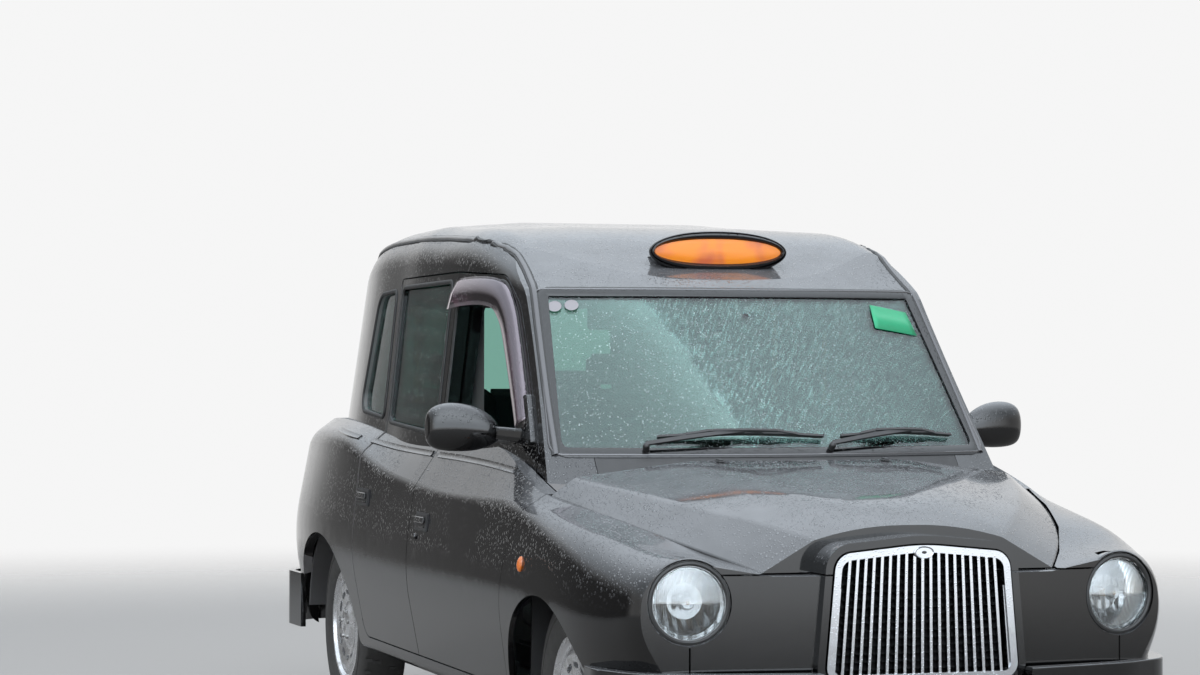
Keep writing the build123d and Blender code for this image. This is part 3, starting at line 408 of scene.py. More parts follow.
def line_inside(name, finish, low, high):
    """Gives the cabin side of a shell another finish: faces that look at the cabin's middle."""
    mesh = nodes[name].data
    mesh.materials.append(finish)
    for face in mesh.polygons:
        inward = face.normal.dot((CABIN_MIDDLE - face.center) * Vector((1, 0.6, 1)))
        inside = all(a < b < c for a, b, c in zip(low, face.center, high))
        if inside and inward > 0.03:
            face.material_index = len(mesh.materials) - 1


# Places on the body's skin where trim sits
def tree_of(names):
    mesh = bmesh.new()
    for name in names:
        mesh.from_mesh(nodes[name].data)
    tree = BVHTree.FromBMesh(mesh)
    mesh.free()
    return tree


SHELL_NAMES = ["roof_panel", "rear_panel", "boot_lid", "front_panel", "bonnet"]
SHELL_NAMES += [part + side for side in ("left", "right") for part in (
    "side_frame_", "door_front_", "door_rear_", "front_wing_")]
SHELL = tree_of(SHELL_NAMES)
FAR = 5.0


def on_side(y, z):
    """Point and outward normal on the left side, at a length and a height."""
    return SHELL.ray_cast(Vector((FAR, y, z)), Vector((-1, 0, 0)))[:2]


def on_top(x, y):
    return SHELL.ray_cast(Vector((x, y, FAR)), Vector((0, 0, -1)))[:2]


def on_back(x, z, tree=SHELL):
    return tree.ray_cast(Vector((x, FAR, z)), Vector((0, -1, 0)))[:2]


def on_screen(x, z):
    """Point and outward normal of the windscreen's curved surface."""
    root = sqrt(SCREEN_RADIUS**2 - x**2)
    y = SCREEN_FOOT_Y + SCREEN_SLOPE * (z - SCREEN_FOOT_Z) + SCREEN_RADIUS - root
    return Vector((x, y, z)), Vector((x / root, -1, SCREEN_SLOPE)).normalized()


def camera_matrix():
    """Place and turn of the photograph's camera, which looks along its own -Z."""
    level = cos(CAMERA_RISE)
    back = Vector((sin(CAMERA_AZIMUTH) * level, -cos(CAMERA_AZIMUTH) * level, sin(CAMERA_RISE)))
    right = (-back).cross(Vector((0, 0, 1))).normalized()
    up = right.cross(-back)
    level_turn = Matrix((right, up, back)).transposed().to_4x4()
    return Matrix.Translation(CAMERA_PLACE) @ level_turn @ Matrix.Rotation(CAMERA_ROLL, 4, "Z")


def in_photo(across, down):
    """Point of the body's skin that shows at a pixel of the photograph."""
    ray = Vector((across - PHOTO_WIDTH / 2, PHOTO_HEIGHT / 2 - down, -PHOTO_FOCAL)).normalized()
    return SHELL.ray_cast(CAMERA_PLACE, camera_matrix().to_3x3() @ ray)[0]


def rounded(corners, radii, step=0.012):
    """Points round a closed outline with rounded corners."""
    points = []
    count = len(corners)
    for i, radius in enumerate(radii):
        corner = Vector(corners[i])
        back = (Vector(corners[i - 1]) - corner).normalized()
        ahead = (Vector(corners[(i + 1) % count]) - corner).normalized()
        half = back.angle(ahead) / 2
        reach = radius / tan(half)
        centre = corner + (back + ahead).normalized() * (radius / sin(half))
        start = corner + back * reach - centre
        sweep = pi - 2 * half
        turn = start.to_3d().cross((corner + ahead * reach - centre).to_3d()).z
        steps = max(2, int(radius * sweep / step))
        for k in range(steps + 1):
            angle = sweep * k / steps * (1 if turn > 0 else -1)
            points.append(centre + Matrix.Rotation(angle, 2) @ start)
    return spread(points, step * 2.5, True)


def spread(points, step, closed=False):
    """The same line with points added on its long runs."""
    out = []
    ends = points[1:] + points[:1] if closed else points[1:]
    for start, end in zip(points, ends):
        pieces = max(1, int((end - start).length / step))
        out += [start.lerp(end, k / pieces) for k in range(pieces)]
    return out if closed else out + [points[-1]]


def smooth_line(points, per_run=8):
    """Catmull-Rom line through given points."""
    points = [Vector(p) for p in points]
    padded = [2 * points[0] - points[1], *points, 2 * points[-1] - points[-2]]
    line = []
    for a, b, c, d in zip(padded, padded[1:], padded[2:], padded[3:]):
        for k in range(per_run):
            t = k / per_run
            line.append(0.5 * (2 * b + (c - a) * t + (2 * a - 5 * b + 4 * c - d) * t**2
                               + (3 * b - a - 3 * c + d) * t**3))
    return line + [points[-1]]


def stand(name, data):
    """Puts an object with this mesh, lamp or camera in the scene."""
    made = bpy.data.objects.new(name, data)
    bpy.context.scene.collection.objects.link(made)
    return made


class Shape:
    """Points and faces of one piece, collected before it becomes an object."""

    def __init__(self):
        self.points = []
        self.faces = []
        self.wears = []

    def add(self, points, faces, wear=0):
        base = len(self.points)
        self.points += [Vector(p) for p in points]
        self.faces += [[base + i for i in face] for face in faces]
        self.wears += [wear] * len(faces)
        return self

    def grid(self, rows, across=False, along=False, caps=False, wear=0):
        """Quads between rows of points; across and along close it, caps fills the end rows."""
        width, count = len(rows[0]), len(rows)
        faces = []
        for i in range(count if along else count - 1):
            for j in range(width if across else width - 1):
                a, b = i * width, (i + 1) % count * width
                k = (j + 1) % width
                faces.append([a + j, a + k, b + k, b + j])
        if caps:
            faces.append(list(range(width))[::-1])
            faces.append([(count - 1) * width + j for j in range(width)])
        return self.add([p for row in rows for p in row], faces, wear)

    def swept(self, places, section, closed=False, wear=0):
        """Bar along places of (point, outward normal), with a section of (across, outward) corners."""
        rows = []
        count = len(places)
        for i, (point, normal) in enumerate(places):
            ahead = places[(i + 1) % count if closed else min(i + 1, count - 1)][0]
            behind = places[i - 1 if closed or i else 0][0]
            along = (ahead - behind).normalized()
            side = along.cross(normal).normalized()
            out = side.cross(along)
            rows.append([point + side * a + out * b for a, b in section])
        return self.grid(rows, True, closed, not closed, wear)

    def turned(self, profile, steps, place=Matrix(), wear=0, closed=False):
        """Ring of (height, radius) corners turned about the place's Z axis."""
        rows = []
        for i in range(steps):
            angle = 2 * pi * i / steps
            rows.append([place @ Vector((r * cos(angle), r * sin(angle), h)) for h, r in profile])
        return self.grid(rows, closed, True, False, wear)

    def block(self, size, place=Matrix(), round_by=0.004, wear=0, steps=2):
        """Box with rounded edges about the place's origin."""
        mesh = bmesh.new()
        bmesh.ops.create_cube(mesh, size=1)
        bmesh.ops.scale(mesh, vec=size, verts=mesh.verts)
        if round_by:
            bmesh.ops.bevel(mesh, geom=mesh.edges[:], offset=round_by, segments=steps, affect="EDGES")
        points = [place @ v.co for v in mesh.verts]
        faces = [[v.index for v in f.verts] for f in mesh.faces]
        mesh.free()
        return self.add(points, faces, wear)

    def mirrored(self):
        other = Shape()
        other.points = [Vector((-p.x, p.y, p.z)) for p in self.points]
        other.faces = [face[::-1] for face in self.faces]
        other.wears = list(self.wears)
        return other

    def piece(self, name, body, *finishes, slot=None, angle=SMOOTH_ANGLE):
        """Makes the object, smooth-shaded, riding on its body."""
        mesh = bpy.data.meshes.new(name)
        mesh.from_pydata(self.points, [], self.faces)
        for finish in finishes:
            mesh.materials.append(finish)
        mesh.polygons.foreach_set("material_index", self.wears)
        cleaned = bmesh.new()
        cleaned.from_mesh(mesh)
        bmesh.ops.recalc_face_normals(cleaned, faces=cleaned.faces)
        cleaned.to_mesh(mesh)
        cleaned.free()
        mesh.shade_smooth()
        mesh.set_sharp_from_angle(angle=angle)
        made = stand(name, mesh)
        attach(made, body)
        return made


def at(x, y, z, turn_x=0, turn_y=0, turn_z=0):
    """Matrix of a place, turned about X, then Y, then Z by degrees."""
    turn = Matrix.Rotation(radians(turn_z), 4, "Z") @ Matrix.Rotation(radians(turn_y), 4, "Y")
    return Matrix.Translation((x, y, z)) @ turn @ Matrix.Rotation(radians(turn_x), 4, "X")


def facing(point, normal, up=Vector((0, 0, 1))):
    """Matrix at point whose Z axis is normal and whose Y axis is near up."""
    z = normal.normalized()
    x = up.cross(z).normalized()
    y = z.cross(x)
    turn = Matrix((x, y, z)).transposed().to_4x4()
    return Matrix.Translation(point) @ turn


def half_round(width, height, foot=0.002, steps=6):
    """Bar section, flat below and rounded above."""
    top = [(cos(pi * k / steps) * width / 2, sin(pi * k / steps) * height) for k in range(steps + 1)]
    return [(width / 2, -foot), *top, (-width / 2, -foot)]


def bar_section(*half):
    """Bar section whose right half mirrors the left one given."""
    return [*half, *((-across, out) for across, out in half[::-1])]


def each_side(shape, name, body, *finishes, slot=None):
    """Puts a left-hand shape and its mirror image on both sides; body may hold the word SIDE."""
    shape.piece(f"{name}_left", body.replace("SIDE", "left"), *finishes, slot=slot)
    shape.mirrored().piece(f"{name}_right", body.replace("SIDE", "right"), *finishes, slot=slot)


# Body trim
# Left gutter up the windscreen pillar and over the front corner of the roof
GUTTER_PILLAR = [
    (0.706, -1.072, 1.053), (0.692, -0.936, 1.219), (0.669, -0.764, 1.431), (0.653, -0.652, 1.568),
    (0.647, -0.588, 1.604), (0.643, -0.534, 1.631), (0.642, -0.466, 1.663), (0.645, -0.390, 1.693),
    (0.654, -0.270, 1.720), (0.664, -0.127, 1.738), (0.672, 0.084, 1.752),
]
GUTTER_ROOF = [(0.30, 1.762), (0.52, 1.768), (0.78, 1.771), (1.06, 1.768), (1.32, 1.750), (1.56, 1.714),
               (1.72, 1.670), (1.80, 1.638)]


def add_gutters():
    """Gutter from the foot of the windscreen pillar over the doors: a grey strip in a black channel."""
    points = [Vector(p) for p in GUTTER_PILLAR] + [on_side(y, z)[0] for y, z in GUTTER_ROOF]
    seats = [SHELL.find_nearest(p)[:2] for p in smooth_line(points, 6)]
    places = []
    for i, (point, normal) in enumerate(seats):
        near = seats[max(0, i - 3):i + 4]
        places.append((point, sum((n for p, n in near), Vector()).normalized()))
    channel = Shape().swept(places, half_round(0.030, 0.006, 0.004))
    each_side(channel, "gutter", "body", RUBBER)
    lifted = [(point + normal * 0.0045, normal) for point, normal in places]
    strip = Shape().swept(lifted, half_round(0.0165, 0.0045))
    each_side(strip, "gutter_strip", "body", BEAD)


SCREEN_CORNERS = [(-0.704, 1.060), (-0.632, 1.560), (0.632, 1.560), (0.704, 1.060)]
SCREEN_RADII = [0.030, 0.022, 0.022, 0.030]
REAR_CORNERS = [(-0.470, 1.160), (-0.430, 1.560), (0.430, 1.560), (0.470, 1.160)]
REAR_RADII = [0.050, 0.070, 0.070, 0.050]
FRONT_GLASS = [(-0.925, 1.090), (-0.600, 1.488), (-0.480, 1.588), (-0.012, 1.604), (-0.012, 1.090)]
FRONT_GLASS_RADII = [0.040, 0.150, 0.130, 0.025, 0.025]
REAR_GLASS = [(0.088, 1.094), (0.088, 1.603), (0.752, 1.594), (0.758, 1.120)]
QUARTER_GLASS = [(0.862, 1.135), (0.862, 1.585), (1.120, 1.572), (1.240, 1.155)]
SEAL_SECTION = half_round(0.016, 0.005)


def add_window_seals():
    """Black edge and fine rubber round the windscreen, and rubber round the other windows."""
    screen = [on_screen(p.x, p.y) for p in rounded(SCREEN_CORNERS, SCREEN_RADII)]
    border = bar_section((-0.019, -0.004), (-0.019, 0.002), (-0.016, 0.003))
    Shape().swept(screen, border, True).piece("screen_border", "body", GLOSS_BLACK)
    outer = [on_screen(p.x, p.y) for p in rounded(grow_outline(SCREEN_CORNERS, 0.016), SCREEN_RADII)]
    Shape().swept(outer, half_round(0.009, 0.005, 0.004), True).piece("screen_seal", "body", BEAD)
    grown = grow_outline(REAR_CORNERS, 0.006)
    back = [on_back(p.x, p.y) for p in rounded(grown, REAR_RADII)]
    Shape().swept(back, half_round(0.028, 0.006, 0.010), True).piece("rear_window_seal", "body", RUBBER)
    for name, corners, radii, body in [
        ("front_glass_seal", FRONT_GLASS, FRONT_GLASS_RADII, "front_SIDE_door"),
        ("rear_glass_seal", REAR_GLASS, [0.025] * 4, "rear_SIDE_door"),
        ("quarter_glass_seal", QUARTER_GLASS, [0.030, 0.030, 0.090, 0.060], "body"),
    ]:
        line = rounded(grow_outline(corners, 0.006), radii)
        seal = Shape().swept([on_side(p.x, p.y) for p in line], SEAL_SECTION, True)
        each_side(seal, name, body, RUBBER)


def grow_outline(corners, amount):
    """Closed outline moved outward by amount."""
    middle = sum((Vector(c) for c in corners), Vector((0, 0))) / len(corners)
    return [tuple(Vector(c) + (Vector(c) - middle).normalized() * amount * 1.3) for c in corners]


HANDLES = [("front_SIDE_door", "front", -0.13, 0.803), ("rear_SIDE_door", "rear", 0.69, 0.849)]


def add_door_handles():
    """Black pull handles in their bezels, with a lock barrel on the front doors."""
    for body, name, y, z in HANDLES:
        point, normal = on_side(y, z)
        place = facing(point, normal)
        handle = Shape()
        handle.block((0.150, 0.062, 0.008), place @ at(0, 0, 0.001), 0.003)
        handle.block((0.118, 0.026, 0.012), place @ at(0.004, 0.006, 0.010), 0.005, 1, 3)
        handle.block((0.112, 0.006, 0.004), place @ at(0.004, -0.016, 0.006), 0.001, 1)
        if name == "front":
            barrel = [(0.004, 0.0), (0.008, 0.0), (0.008, 0.009), (0.004, 0.011)]
            handle.turned(barrel, 20, place @ at(0.062, -0.052, -0.001), 1)
        each_side(handle, f"{name}_door_handle", body, GRAINED, GLOSS_BLACK, slot="black_plastic")


def add_repeaters():
    point, normal = on_side(-1.306, 0.739)
    lamp = Shape()
    dome = [(-0.002, 0.019), (0.004, 0.018), (0.009, 0.012), (0.011, 0.005), (0.0113, 0.0)]
    place = facing(point, normal) @ Matrix.Diagonal((0.75, 1.25, 1, 1))
    lamp.turned(dome, 28, place)
    each_side(lamp, "side_repeater", "body", AMBER_LENS)


DEFLECTOR_LINE = [
    (-0.014, 1.616), (-0.140, 1.619), (-0.280, 1.617), (-0.400, 1.608), (-0.490, 1.588), (-0.556, 1.548),
    (-0.614, 1.494), (-0.690, 1.400), (-0.760, 1.312), (-0.830, 1.226), (-0.880, 1.162),
]
DEFLECTOR_DEPTHS = (0.105, 0.050)
WINDOW_LEAN = 0.176


def add_deflectors():
    """Smoked wind deflectors along the top and front of the front door windows."""
    line = smooth_line(DEFLECTOR_LINE, 5)
    deep, shallow = DEFLECTOR_DEPTHS
    rows = []
    for i, p in enumerate(line):
        foot = on_side(p.x, p.y)[0]
        ahead = line[min(i + 1, len(line) - 1)]
        behind = line[max(i - 1, 0)]
        along = (behind - ahead).normalized()
        share = i / (len(line) - 1)
        reach = Vector((along.y, -along.x)) * (deep + (shallow - deep) * share)
        row = []
        for part, lift in ((0.0, 0.004), (0.12, 0.016), (0.5, 0.030), (1.0, 0.034)):
            y, z = p + reach * part
            row.append(Vector((foot.x + WINDOW_LEAN * (p.y - z) + lift, y, z)))
        rows.append(row)
    shield = Shape().grid(rows)
    for side, way in SIDES.items():
        shape = shield if way > 0 else shield.mirrored()
        made = shape.piece(f"wind_deflector_{side}", f"front_{side}_door", SMOKED, angle=pi)
        made.modifiers.new("thickness", "SOLIDIFY").thickness = 0.003


# Pixels of the photograph on the band under the windows, and the length and height of its rear end
WAIST_PIXELS = [(520, 472), (490, 464), (460, 458), (440, 455), (400, 448), (370, 440), (345, 432)]
WAIST_END = (1.300, 1.078)
WAIST_RUNS = [("front_SIDE_door", -0.990, -0.020), ("rear_SIDE_door", 0.030, 0.850), ("body", 0.930, 1.290)]
WAIST_SECTION = bar_section((-0.013, -0.002), (-0.010, 0.005), (-0.005, 0.0035))


def add_waist_bands():
    """Shallow pressed band under the windows, with a blunt front end."""
    line = smooth_line([in_photo(*pixel).yz for pixel in WAIST_PIXELS] + [WAIST_END], 10)
    for body, start, end in WAIST_RUNS:
        run = [on_side(p.x, p.y) for p in line if start <= p.x <= end]
        band = Shape().swept(run, WAIST_SECTION)
        each_side(band, f"waist_band_{body.split('_')[0]}", body, PAINT)


# Wipers: places across the windscreen of the pivot, the arm's end and the blade's ends, and their heights
WIPER_TABLE = [(-0.44, -0.13, -0.40, 0.13), (0.15, 0.44, 0.19, 0.60)]
PIVOT_Z = 1.070
ARM_Z = 1.074
ARM_RISE = 0.038
BLADE_Z = 1.101


def add_wipers():
    """Two parked wipers, each with its pivot cap, arm, blade, claws and yoke."""
    wipers = Shape()
    for pivot_x, arm_x, low_x, high_x in WIPER_TABLE:
        base, normal = on_screen(pivot_x, PIVOT_Z)
        cap = [(-0.030, 0.010), (0.008, 0.011), (0.013, 0.009), (0.017, 0.004), (0.0175, 0.0)]
        wipers.turned(cap, 24, facing(base + normal * 0.012, normal))
        arm = []
        for k in range(11):
            share = k / 10
            point, out = on_screen(pivot_x + (arm_x - pivot_x) * share, ARM_Z + ARM_RISE * share)
            lift = 0.021 + 0.005 * sin(pi * share)
            arm.append((point + out * lift, out))
        wipers.swept(arm, bar_section((-0.008, 0), (-0.007, 0.006)))
        blade = []
        for k in range(25):
            share = k / 24
            x = low_x + (high_x - low_x) * share
            point, out = on_screen(x, BLADE_Z + 0.010 * sin(pi * share))
            blade.append((point + out * 0.008, out))
        wipers.swept(blade, bar_section((-0.0012, -0.006), (-0.0012, 0.004)), wear=1)
        wipers.swept(blade, bar_section((-0.005, 0.004), (-0.004, 0.009)))
        for grip in (4, 9, 15, 20):
            lower, upper = blade[grip], blade[grip + (3 if grip < 12 else -3)]
            wipers.swept(
                [(lower[0] + lower[1] * 0.008, lower[1]), (upper[0] + upper[1] * 0.019, upper[1])],
                bar_section((-0.004, 0), (-0.004, 0.004)))
        yoke = [(point + out * 0.018, out) for point, out in blade[7:18]]
        wipers.swept(yoke, bar_section((-0.005, 0), (-0.004, 0.006)))
    made = wipers.piece("wiper_set", "body", GRAINED, RUBBER, slot="black_plastic")
    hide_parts("wipers")


def add_washer_jets():
    jets = Shape()
    for x in (-0.27, 0.27):
        point, normal = on_top(x, -1.33)
        place = facing(point, normal, Vector((0, 1, 0)))
        jets.block((0.024, 0.036, 0.012), place @ at(0, 0, 0.004), 0.005, 0, 3)
    jets.piece("washer_jets", "bonnet_lid", GRAINED, slot="black_plastic")


def lamp_place(side):
    """Matrix of a headlamp, its Z axis pointing out of the lamp."""
    place = Vector((side * LAMP_PLACE.x, LAMP_PLACE.y, LAMP_PLACE.z))
    return facing(place, Vector((side * sin(LAMP_TURN), -cos(LAMP_TURN), 0)))


def add_headlamps():
    """Rubber recess ring with a painted lip, bulb and bulb shield in each headlamp."""
    rings, bulbs = Shape(), Shape()
    for side in SIDES.values():
        place = lamp_place(side)
        ring = [(-0.006, LAMP_RADIUS + 0.001), (0.004, LAMP_RADIUS + 0.003), (0.007, 0.108),
                (0.005, 0.114), (-0.004, LAMP_HOLE - 0.0005), (-0.012, LAMP_HOLE - 0.0005)]
        rings.turned(ring, 72, place)
        lip = [(-0.003, LAMP_HOLE - 0.003), (0.0045, LAMP_HOLE), (0.0055, LAMP_HOLE + 0.003),
               (0.001, LAMP_HOLE + 0.006)]
        rings.turned(lip, 72, place, 1)
        bulb = [(-0.075, 0.0), (-0.075, 0.012), (-0.052, 0.013), (-0.046, 0.009), (-0.024, 0.008),
                (-0.018, 0.005), (-0.016, 0.0)]
        bulbs.turned(bulb, 24, place)
        cap = [(-0.020, 0.0), (-0.018, 0.016), (-0.026, 0.021), (-0.036, 0.022)]
        bulbs.turned(cap, 28, place, 1)
    rings.piece("headlamp_rings", "body", RUBBER, PAINT)
    bulbs.piece("headlamp_bulbs", "body", BULB, REFLECTOR, slot="lamp_metal")


SLAT_COUNT = 16
SLAT_LOW_Z = 0.478
SLAT_PITCH = 0.0215


def add_grille_dressing():
    """Blank boss on the surround, and dark slats behind the bars."""
    boss = Shape()
    place = facing(Vector((0, GRILLE_Y - 0.001, 0.816)), Vector((0, -1, 0)))
    face = [(-0.004, 0.0300), (0.002, 0.0300), (0.0045, 0.0275), (0.0030, 0.0245)]
    boss.turned(face, 48, place @ Matrix.Diagonal((1, 0.56, 1, 1)))
    inner = [(0.0030, 0.0245), (0.0015, 0.0240), (0.0028, 0.015), (0.0032, 0.0)]
    boss.turned(inner, 48, place @ Matrix.Diagonal((1, 0.56, 1, 1)), 1)
    boss.piece("grille_boss", "body", CHROME, GLOSS_BLACK, slot="chrome")
    slats = Shape()
    for k in range(SLAT_COUNT):
        place = at(0, GRILLE_Y + 0.045, SLAT_LOW_Z + SLAT_PITCH * k, 28)
        slats.block((0.50 - 0.0022 * k, 0.030, 0.003), place, 0)
    slats.piece("grille_slats", "body", GRAINED, slot="black_plastic")


# Left end, width and height of the licence tag's edges, and the discs' middles
TAG_EDGES = [(0.462, 0.135, 1.524), (0.454, 0.157, 1.448)]
DISC_PLACES = [(-0.604, 1.512), (-0.552, 1.516)]
PAPER_LIFT = 0.0008


def add_plates():
    """Blank number plates, licence tag and discs."""
    front = Shape().block((0.520, 0.006, 0.111), at(0, -2.2935, 0.360), 0.002)
    front.piece("front_plate", "body", PLATE_WHITE)
    point, normal = on_back(0, 0.735)
    rear = Shape().block((0.520, 0.111, 0.006), facing(point, normal) @ at(0, 0, 0.002), 0.002)
    rear.piece("rear_plate", "boot_door", PLATE_YELLOW)
    rows = []
    for left, width, top in TAG_EDGES:
        seats = [on_screen(left + width * i / 8, top - 0.003 * i) for i in range(9)]
        rows.append([p + n * PAPER_LIFT for p, n in seats])
    green = Shape().grid(rows).piece("licence_tag", "body", TAG_GREEN)
    green.modifiers.new("thickness", "SOLIDIFY").thickness = PAPER_LIFT
    discs = Shape()
    for x, z in DISC_PLACES:
        p, n = on_screen(x, z)
        discs.turned([(0.0, 0.0), (0.0, 0.021), (0.001, 0.022)], 32, facing(p + n * PAPER_LIFT, n))
    discs.piece("paper_discs", "body", DISC_PAPER)


BUMPER_HALF = [(0.868, -1.900), (0.868, -1.960), (0.812, -2.105), (0.640, -2.205), (0.270, -2.288)]
STRIP_Z = 0.410


def add_bumper_strip():
    """Grained step along the top of the front bumper."""
    outline = [Vector((-x, y)) for x, y in BUMPER_HALF] + [Vector(p) for p in BUMPER_HALF[::-1]]
    bumper = tree_of(["front_bumper"])
    places = []
    for p in spread(outline, 0.03):
        direction = Vector((-p.x, -(p.y + 1.4), 0)).normalized()
        origin = Vector((p.x, p.y, STRIP_Z)) - direction * 0.4
        hit, normal = bumper.ray_cast(origin, direction)[:2]
        if hit:
            places.append((hit, Vector((normal.x, normal.y, 0)).normalized()))
    strip = Shape().swept(places, half_round(0.034, 0.007))
    strip.piece("front_bumper_strip", "body", GRAINED, slot="black_plastic")


def add_tail_trim():
    """Boot handle, and the clear and amber parts of the tail lamps."""
    point, normal = on_back(0, 0.850)
    place = facing(point, normal)
    handle = Shape()
    handle.block((0.240, 0.040, 0.018), place @ at(0, 0, 0.006), 0.006, 0, 3)
    handle.block((0.200, 0.014, 0.012), place @ at(0, -0.022, 0.010), 0.004, 1, 3)
    handle.piece("boot_handle", "boot_door", GRAINED, GLOSS_BLACK, slot="black_plastic")
    lamps = Shape()
    red_lamps = tree_of(["tail_lamps"])
    for z, height, wear in ((0.905, 0.085, 0), (0.735, 0.060, 1)):
        p, n = on_back(0.640, z, red_lamps)
        lamps.block((0.070, height, 0.006), facing(p, n) @ at(0, 0, 0.001), 0.0025, wear, 3)
    each_side(lamps, "tail_lamp_parts", "body", AMBER_LENS, PLATE_WHITE)


# Wheels
TREAD_STEPS = 240
GROOVES = (-0.045, -0.016, 0.016, 0.045)
GROOVE_HALF = 0.0036
GROOVE_DEPTH = 0.0075
SLOT_DEPTH = 0.0055
SHOULDER = 0.048
WHEEL_NUTS = 5


def tread_radius(x, step):
    """Radius of the tread at a place across it, with grooves round and slots across."""
    crown = TYRE_RADIUS - 0.9 * x * x
    groove = any(abs(x - g) < GROOVE_HALF for g in GROOVES)
    if abs(x) > SHOULDER:
        slot = step % 6 == 0
    else:
        slot = (step + (3 if x > 0 else 0)) % 8 == 0 and abs(x) > 0.019
    return crown - (GROOVE_DEPTH if groove else SLOT_DEPTH if slot else 0)


def tyre_shape(side):
    """Tyre with its tread cut in, axis along X."""
    half = [0.004, 0.011, 0.0123, 0.0197, 0.02, 0.03, 0.04, 0.0413, 0.0487, 0.05, 0.055, 0.0615, 0.068]
    across = [-x for x in half[::-1]] + half
    wall_in = [(-0.068, 0.2035), (-0.0772, 0.213), (-0.0868, 0.240), (-0.0890, 0.268), (-0.0872, 0.292),
               (-0.0840, 0.308), (-0.0805, 0.319), (-0.0745, 0.3255)]
    rows = []
    for step in range(TREAD_STEPS):
        angle = 2 * pi * step / TREAD_STEPS
        profile = wall_in + [(x, tread_radius(x, step)) for x in across] + [(-x, r) for x, r in wall_in[::-1]]
        rows.append([Vector((x, r * cos(angle), r * sin(angle))) for x, r in profile])
    tyre = Shape().grid(rows, True, True)
    rib = [(0.0885, 0.276), (0.0905, 0.278), (0.0905, 0.280), (0.0880, 0.282)]
    tyre.turned(rib, 120, Matrix.Rotation(pi / 2, 4, "Y"))
    tyre.points = [Vector((side * p.x, p.y, p.z)) for p in tyre.points]
    return tyre


def add_wheels():
    """Treaded tyre, brake disc and wheel nuts on each wheel."""
    for name, (side, y) in WHEELS.items():
        shape = tyre_shape(side)
        hub = Vector((side * TRACK_HALF, y, AXLE_Z))
        shape.points = [p + hub for p in shape.points]
        tyre = shape.piece(f"road_tyre_{name}", f"{name}_wheel", TYRE, slot="tyre")
        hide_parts(f"tyre_{name}")
        disc = Shape()
        turn = Matrix.Translation(hub) @ Matrix.Rotation(side * pi / 2, 4, "Y")
        ring = [(-0.040, 0.050), (-0.040, 0.140), (-0.028, 0.142), (-0.028, 0.050)]
        disc.turned(ring, 60, turn, closed=True)
        for k in range(WHEEL_NUTS):
            nut = turn @ at(0, 0, 0, 0, 0, 360 * k / WHEEL_NUTS) @ at(0.052, 0, 0.076)
            disc.turned([(0, 0.0085), (0.006, 0.0085), (0.008, 0.006), (0.008, 0.0)], 6, nut, 1)
        disc.piece(f"brake_disc_{name}", f"{name}_wheel", STEEL, STEEL, slot="steel")


# Seats and cabin
SIM_FRAMES = 20
SEAT_PRESSURE = 4.0
SEAM_DEPTH = 0.10
SEAM_REACH = 0.012


def inflate(piece, voxel, cap):
    """Swells a block into a padded form by a cloth simulation, with each point's movement capped."""
    remesh = piece.modifiers.new("remesh", "REMESH")
    remesh.mode = "VOXEL"
    remesh.voxel_size = voxel
    apply_modifiers(piece)
    rest = [v.co.copy() for v in piece.data.vertices]
    cloth = piece.modifiers.new("cloth", "CLOTH")
    cloth.settings.use_pressure = True
    cloth.settings.uniform_pressure_force = SEAT_PRESSURE
    cloth.settings.effector_weights.gravity = 0
    cloth.point_cache.frame_start = 1
    cloth.point_cache.frame_end = SIM_FRAMES
    scene = bpy.context.scene
    for step in range(1, SIM_FRAMES + 1):
        scene.frame_set(step)
    apply_modifiers(piece)
    for vertex, start in zip(piece.data.vertices, rest):
        move = vertex.co - start
        if move.length > cap:
            vertex.co = start + move * (cap / move.length)
    scene.frame_set(1)
    smooth = piece.modifiers.new("smooth", "SMOOTH")
    smooth.factor = 0.5
    smooth.iterations = 4
    divide = piece.modifiers.new("divide", "SUBSURF")
    divide.levels = 1
    divide.render_levels = 1
    apply_modifiers(piece)
    piece.data.shade_smooth()


def apply_modifiers(piece):
    graph = bpy.context.evaluated_depsgraph_get()
    mesh = bpy.data.meshes.new_from_object(piece.evaluated_get(graph))
    old = piece.data
    piece.modifiers.clear()
    piece.data = mesh
    bpy.data.meshes.remove(old)


def cushion(name, size, place, voxel=0.012, cap=0.016, channels=(), round_by=0.035):
    """Padded block: inflated, then sewn channels are pressed in along it."""
    start = Shape().block(size, Matrix(), round_by, 0, 3)
    piece = start.piece(name, "body", SEAT_CLOTH, slot="seat_fabric")
    inflate(piece, voxel, cap)
    for vertex in piece.data.vertices:
        for seam in channels:
            gap = abs(vertex.co.x - seam)
            vertex.co *= 1 - SEAM_DEPTH * max(0.0, 1 - gap / SEAM_REACH) ** 1.5
    piece.data.transform(place)
    return piece


PASSENGER_SIDES = [("right", -1), ("left", 1)]


